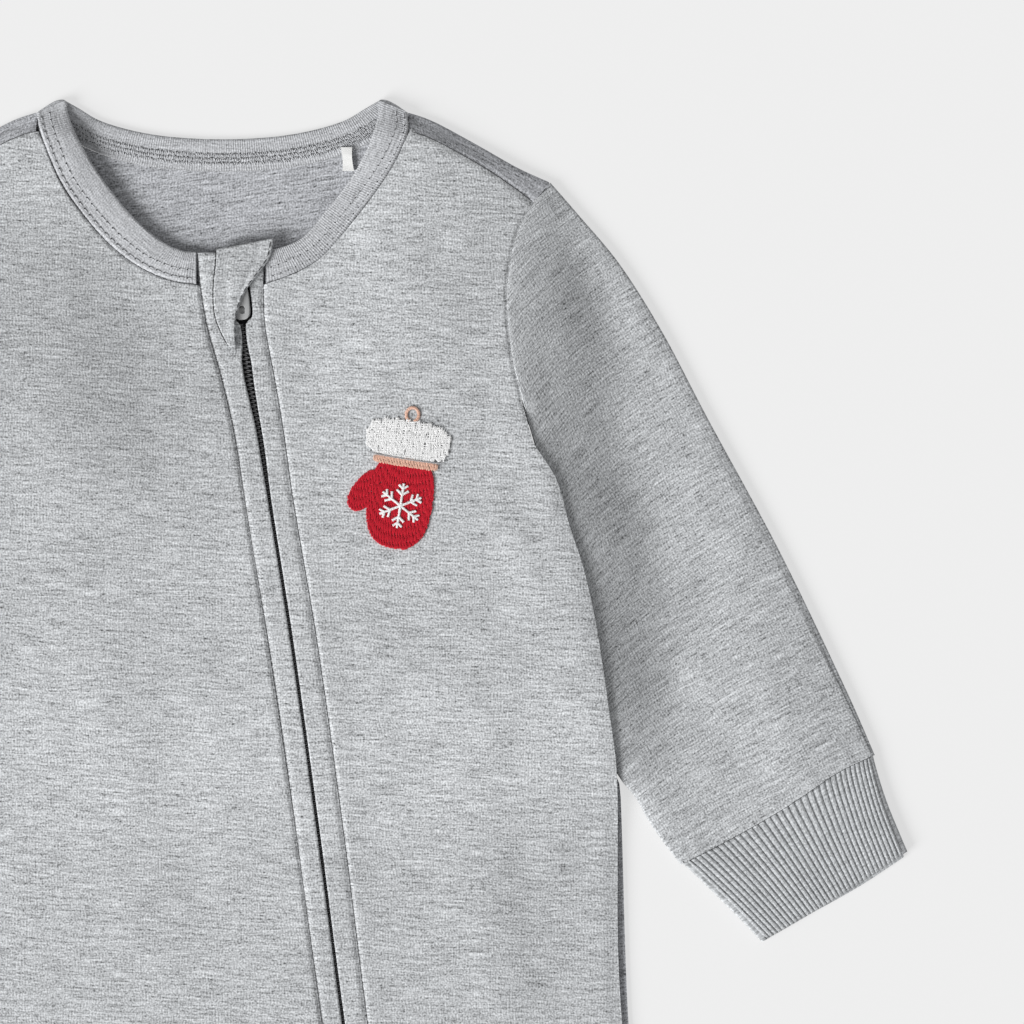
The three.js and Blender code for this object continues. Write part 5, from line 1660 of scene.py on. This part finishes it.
def fluff(x, y):
    """Inside the fluffy cuff: an oval whose edge waves."""
    wavy = 0.5 * np.sin(x * 1.9) + 0.35 * np.sin(x * 3.7 + 1)
    return oval(x, y + wavy * 0.6, 0.2, 11.6, 12.6, 6.0, 3.0)


def fill(inside, turn, spacing, length, jitter=0.12, lean=0.0, half=26.0):
    """Stitches that fill a shape. Rows lie a spacing apart at an angle, end where the shape ends, and are cut
    into stitches of about one length."""
    t = np.arange(-half, half, FILL_STEP)
    offsets = np.arange(-half, half, spacing)
    way = np.array([math.cos(turn), math.sin(turn)])
    side = np.array([-way[1], way[0]])
    grid = offsets[:, None, None] * side + t[None, :, None] * way
    mask = inside(grid[..., 0], grid[..., 1])
    pieces = []
    for k in np.flatnonzero(mask.any(axis=1)):
        change = np.flatnonzero(np.diff(np.concatenate([[0], mask[k].astype(int), [0]])))
        for a, b in zip(change[::2], change[1::2]):
            low, high = t[a], t[b - 1]
            if high - low < SHORTEST_STITCH:
                continue
            first = low + length * (0.25 + 0.5 * ((k * 0.37) % 1))
            cuts = np.concatenate([[low], np.arange(first, high - 0.4 * length, length), [high]])
            s, e = cuts[:-1] - jitter * 0.5, cuts[1:] + jitter * 0.5
            pieces.append(np.stack([s, e, np.full(len(s), offsets[k])], axis=1))
    rows = np.concatenate(pieces)
    wander = rng.normal(0, jitter * 0.5, (len(rows), 2))
    tilt = rng.normal(0, lean, len(rows))
    start = rows[:, :1] * way + (rows[:, 2:] + wander[:, :1] - tilt[:, None]) * side
    end = rows[:, 1:2] * way + (rows[:, 2:] + wander[:, 1:] + tilt[:, None]) * side
    return start, end


def satin(line, half, spacing):
    """Close stitches across a line, half a width to each side."""
    dense = evenly(line, max(int(np.linalg.norm(np.diff(line, axis=0), axis=1).sum() / spacing), 2))
    way = unit(np.gradient(dense, axis=0))
    side = np.stack([-way[:, 1], way[:, 0]], axis=1)
    reach = half + rng.normal(0, 0.04, (len(dense), 1))
    return dense - side * reach, dense + side * reach


def on_front(p, height):
    """Motif points, up and right from its middle, laid on the front's surface and raised."""
    c, s = math.cos(MOTIF_TILT), math.sin(MOTIF_TILT)
    x = MOTIF_X + p[:, 0] * c - p[:, 1] * s
    down = MOTIF_DOWN - (p[:, 0] * s + p[:, 1] * c)
    return place(x, down, TOP_LAYER + CLOTH + front_lift(x, down) + height)


def embroider(name, stitches, look, slot, height, radius=THREAD, rise=0.12):
    """One colour of the motif from (starts, ends) pairs."""
    start = np.concatenate([s for s, _ in stitches])
    end = np.concatenate([e for _, e in stitches])
    lift = height + rng.uniform(-0.05, 0.05, len(start))
    made = bars(name, on_front(start, lift), on_front(end, lift), radius * MM, rise * MM, 5, 5)
    return finished(made, look, slot)


def snowflake():
    """Six arms with two pairs of branches each, about a middle."""
    lines = []
    centre, size = np.array([0.9, -8.2]), 6.6
    for k in range(6):
        angle_here = k * math.pi / 3 + FIRST_ARM
        arm = np.array([math.cos(angle_here), math.sin(angle_here)])
        lines.append(np.array([centre, centre + arm * size]))
        for at_share, branch in ((0.5, 2.1), (0.78, 1.6)):
            root = centre + arm * size * at_share
            for lean in (-0.9, 0.9):
                c, s = math.cos(lean), math.sin(lean)
                twig = np.array([arm[0] * c - arm[1] * s, arm[0] * s + arm[1] * c])
                lines.append(np.array([root, root + twig * branch]))
    return [satin(line, 0.42, 0.3) for line in lines]


def loop_line():
    """A teardrop loop above the cuff."""
    turn = np.linspace(-0.35 * np.pi, 1.35 * np.pi, 60)
    return np.stack([0.2 + 1.9 * np.cos(turn), 19.4 + 2.1 * np.sin(turn)], axis=1)


motif = [
    embroider("mitten_underlay", [fill(hand, 0.3, 0.5, 5.0)], red_thread, "thread_red", 0.12, 0.34, 0.02),
    embroider("mitten_red", [fill(hand, 1.48, 0.32, 2.7, 0.14)], red_thread, "thread_red", 0.38),
    embroider("mitten_band", [fill(band, 1.57, 0.32, 3.0)], peach_thread, "thread_peach", 0.55),
    embroider("mitten_loop", [satin(loop_line(), 0.55, 0.3)], peach_thread, "thread_peach", 0.32),
    embroider(
        "mitten_fluff",
        [
            fill(fluff, 0.2, 0.7, 4.0),
            fill(fluff, 1.45, 0.33, 3.4, 0.4, 0.3),
            fill(fluff, 1.7, 0.5, 2.6, 0.9, 0.5),
        ],
        white_thread, "thread_white", 0.4,
    ),
    embroider("mitten_snowflake", snowflake(), white_thread, "thread_white", 0.72),
]
edge_turn = np.linspace(0, np.pi, 40)
cuff_edge = np.stack([0.3 + 11.4 * np.cos(edge_turn), 6.4 - 0.5 * np.sin(edge_turn)], axis=1)
motif.append(
    embroider("mitten_outline", [satin(cuff_edge, 0.25, 0.34)], grey_thread, "thread_grey", 0.7, 0.15)
)

# %% [markdown]

# %% [markdown]
# ## Floor, light and camera
#
# The garment lies on a pale table that glows a little, so that its shadows stay faint. One large soft lamp
# stands low on the left and the sky fills in the rest, which brings out the folds. The camera looks
# straight down.

# %% Floor, lights and camera
PHOTO_SIDE, PHOTO_SCALE = 1024, 0.30
PHOTO_CENTRE_X, PHOTO_TOP = 221, 95
CLOTH_LEVEL = 7.0
FLOOR_HALF, FLOOR_LEVEL = 3.0, -0.0002
floor_mesh = bpy.data.meshes.new("floor")
corner_signs = ((-1, -1), (1, -1), (1, 1), (-1, 1))
floor_corners = [(FLOOR_HALF * i, FLOOR_HALF * j, FLOOR_LEVEL) for i, j in corner_signs]
floor_mesh.from_pydata(floor_corners, [], [(0, 1, 2, 3)])
floor = bpy.data.objects.new("floor", floor_mesh)
bpy.context.scene.collection.objects.link(floor)
floor_look, floor_tree, floor_shader = new_material("pale_table", 0.9)
floor_shader.inputs["Base Color"].default_value = (0.22, 0.22, 0.22, 1)
floor_shader.inputs["Emission Color"].default_value = (1, 1, 1, 1)
floor_shader.inputs["Emission Strength"].default_value = 0.63
floor_mesh.materials.append(floor_look)
floor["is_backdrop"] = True

world = bpy.data.worlds.new("studio")
world.use_nodes = True
world.node_tree.nodes["Background"].inputs["Color"].default_value = (1, 1, 1, 1)
world.node_tree.nodes["Background"].inputs["Strength"].default_value = 0.33
bpy.context.scene.world = world


def lamp(name, strength, towards, softness):
    """A far soft lamp that shines in one direction."""
    data = bpy.data.lights.new(name, "SUN")
    data.energy = strength
    data.angle = math.radians(softness)
    made = bpy.data.objects.new(name, data)
    made.rotation_mode = "QUATERNION"
    made.rotation_quaternion = Vector(towards).to_track_quat("-Z", "Y")
    bpy.context.scene.collection.objects.link(made)


lamp("key", 3.62, (0.85, 0.53, -0.68), 32)

scene = bpy.context.scene
scene.view_settings.view_transform = "Standard"
scene.view_settings.look = "None"
camera_data = bpy.data.cameras.new("camera")
camera_data.lens = 400
camera_data.sensor_width = 36
camera = bpy.data.objects.new("camera", camera_data)
scene.collection.objects.link(camera)
view_width = PHOTO_SIDE * PHOTO_SCALE
view_x = (PHOTO_SIDE / 2 - PHOTO_CENTRE_X) * PHOTO_SCALE
view_down = (PHOTO_SIDE / 2 - PHOTO_TOP) * PHOTO_SCALE
height = view_width * camera_data.lens / camera_data.sensor_width + CLOTH_LEVEL
camera.location = place(view_x, view_down, height)
camera_data.clip_start, camera_data.clip_end = 0.05, 20
scene.camera = camera
print("camera at", [round(v, 4) for v in camera.location])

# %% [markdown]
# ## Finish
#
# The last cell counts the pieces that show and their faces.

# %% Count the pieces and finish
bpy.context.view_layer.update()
shown = list(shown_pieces())
print(len(shown), "pieces,", sum(len(o.data.polygons) for o in shown), "faces")
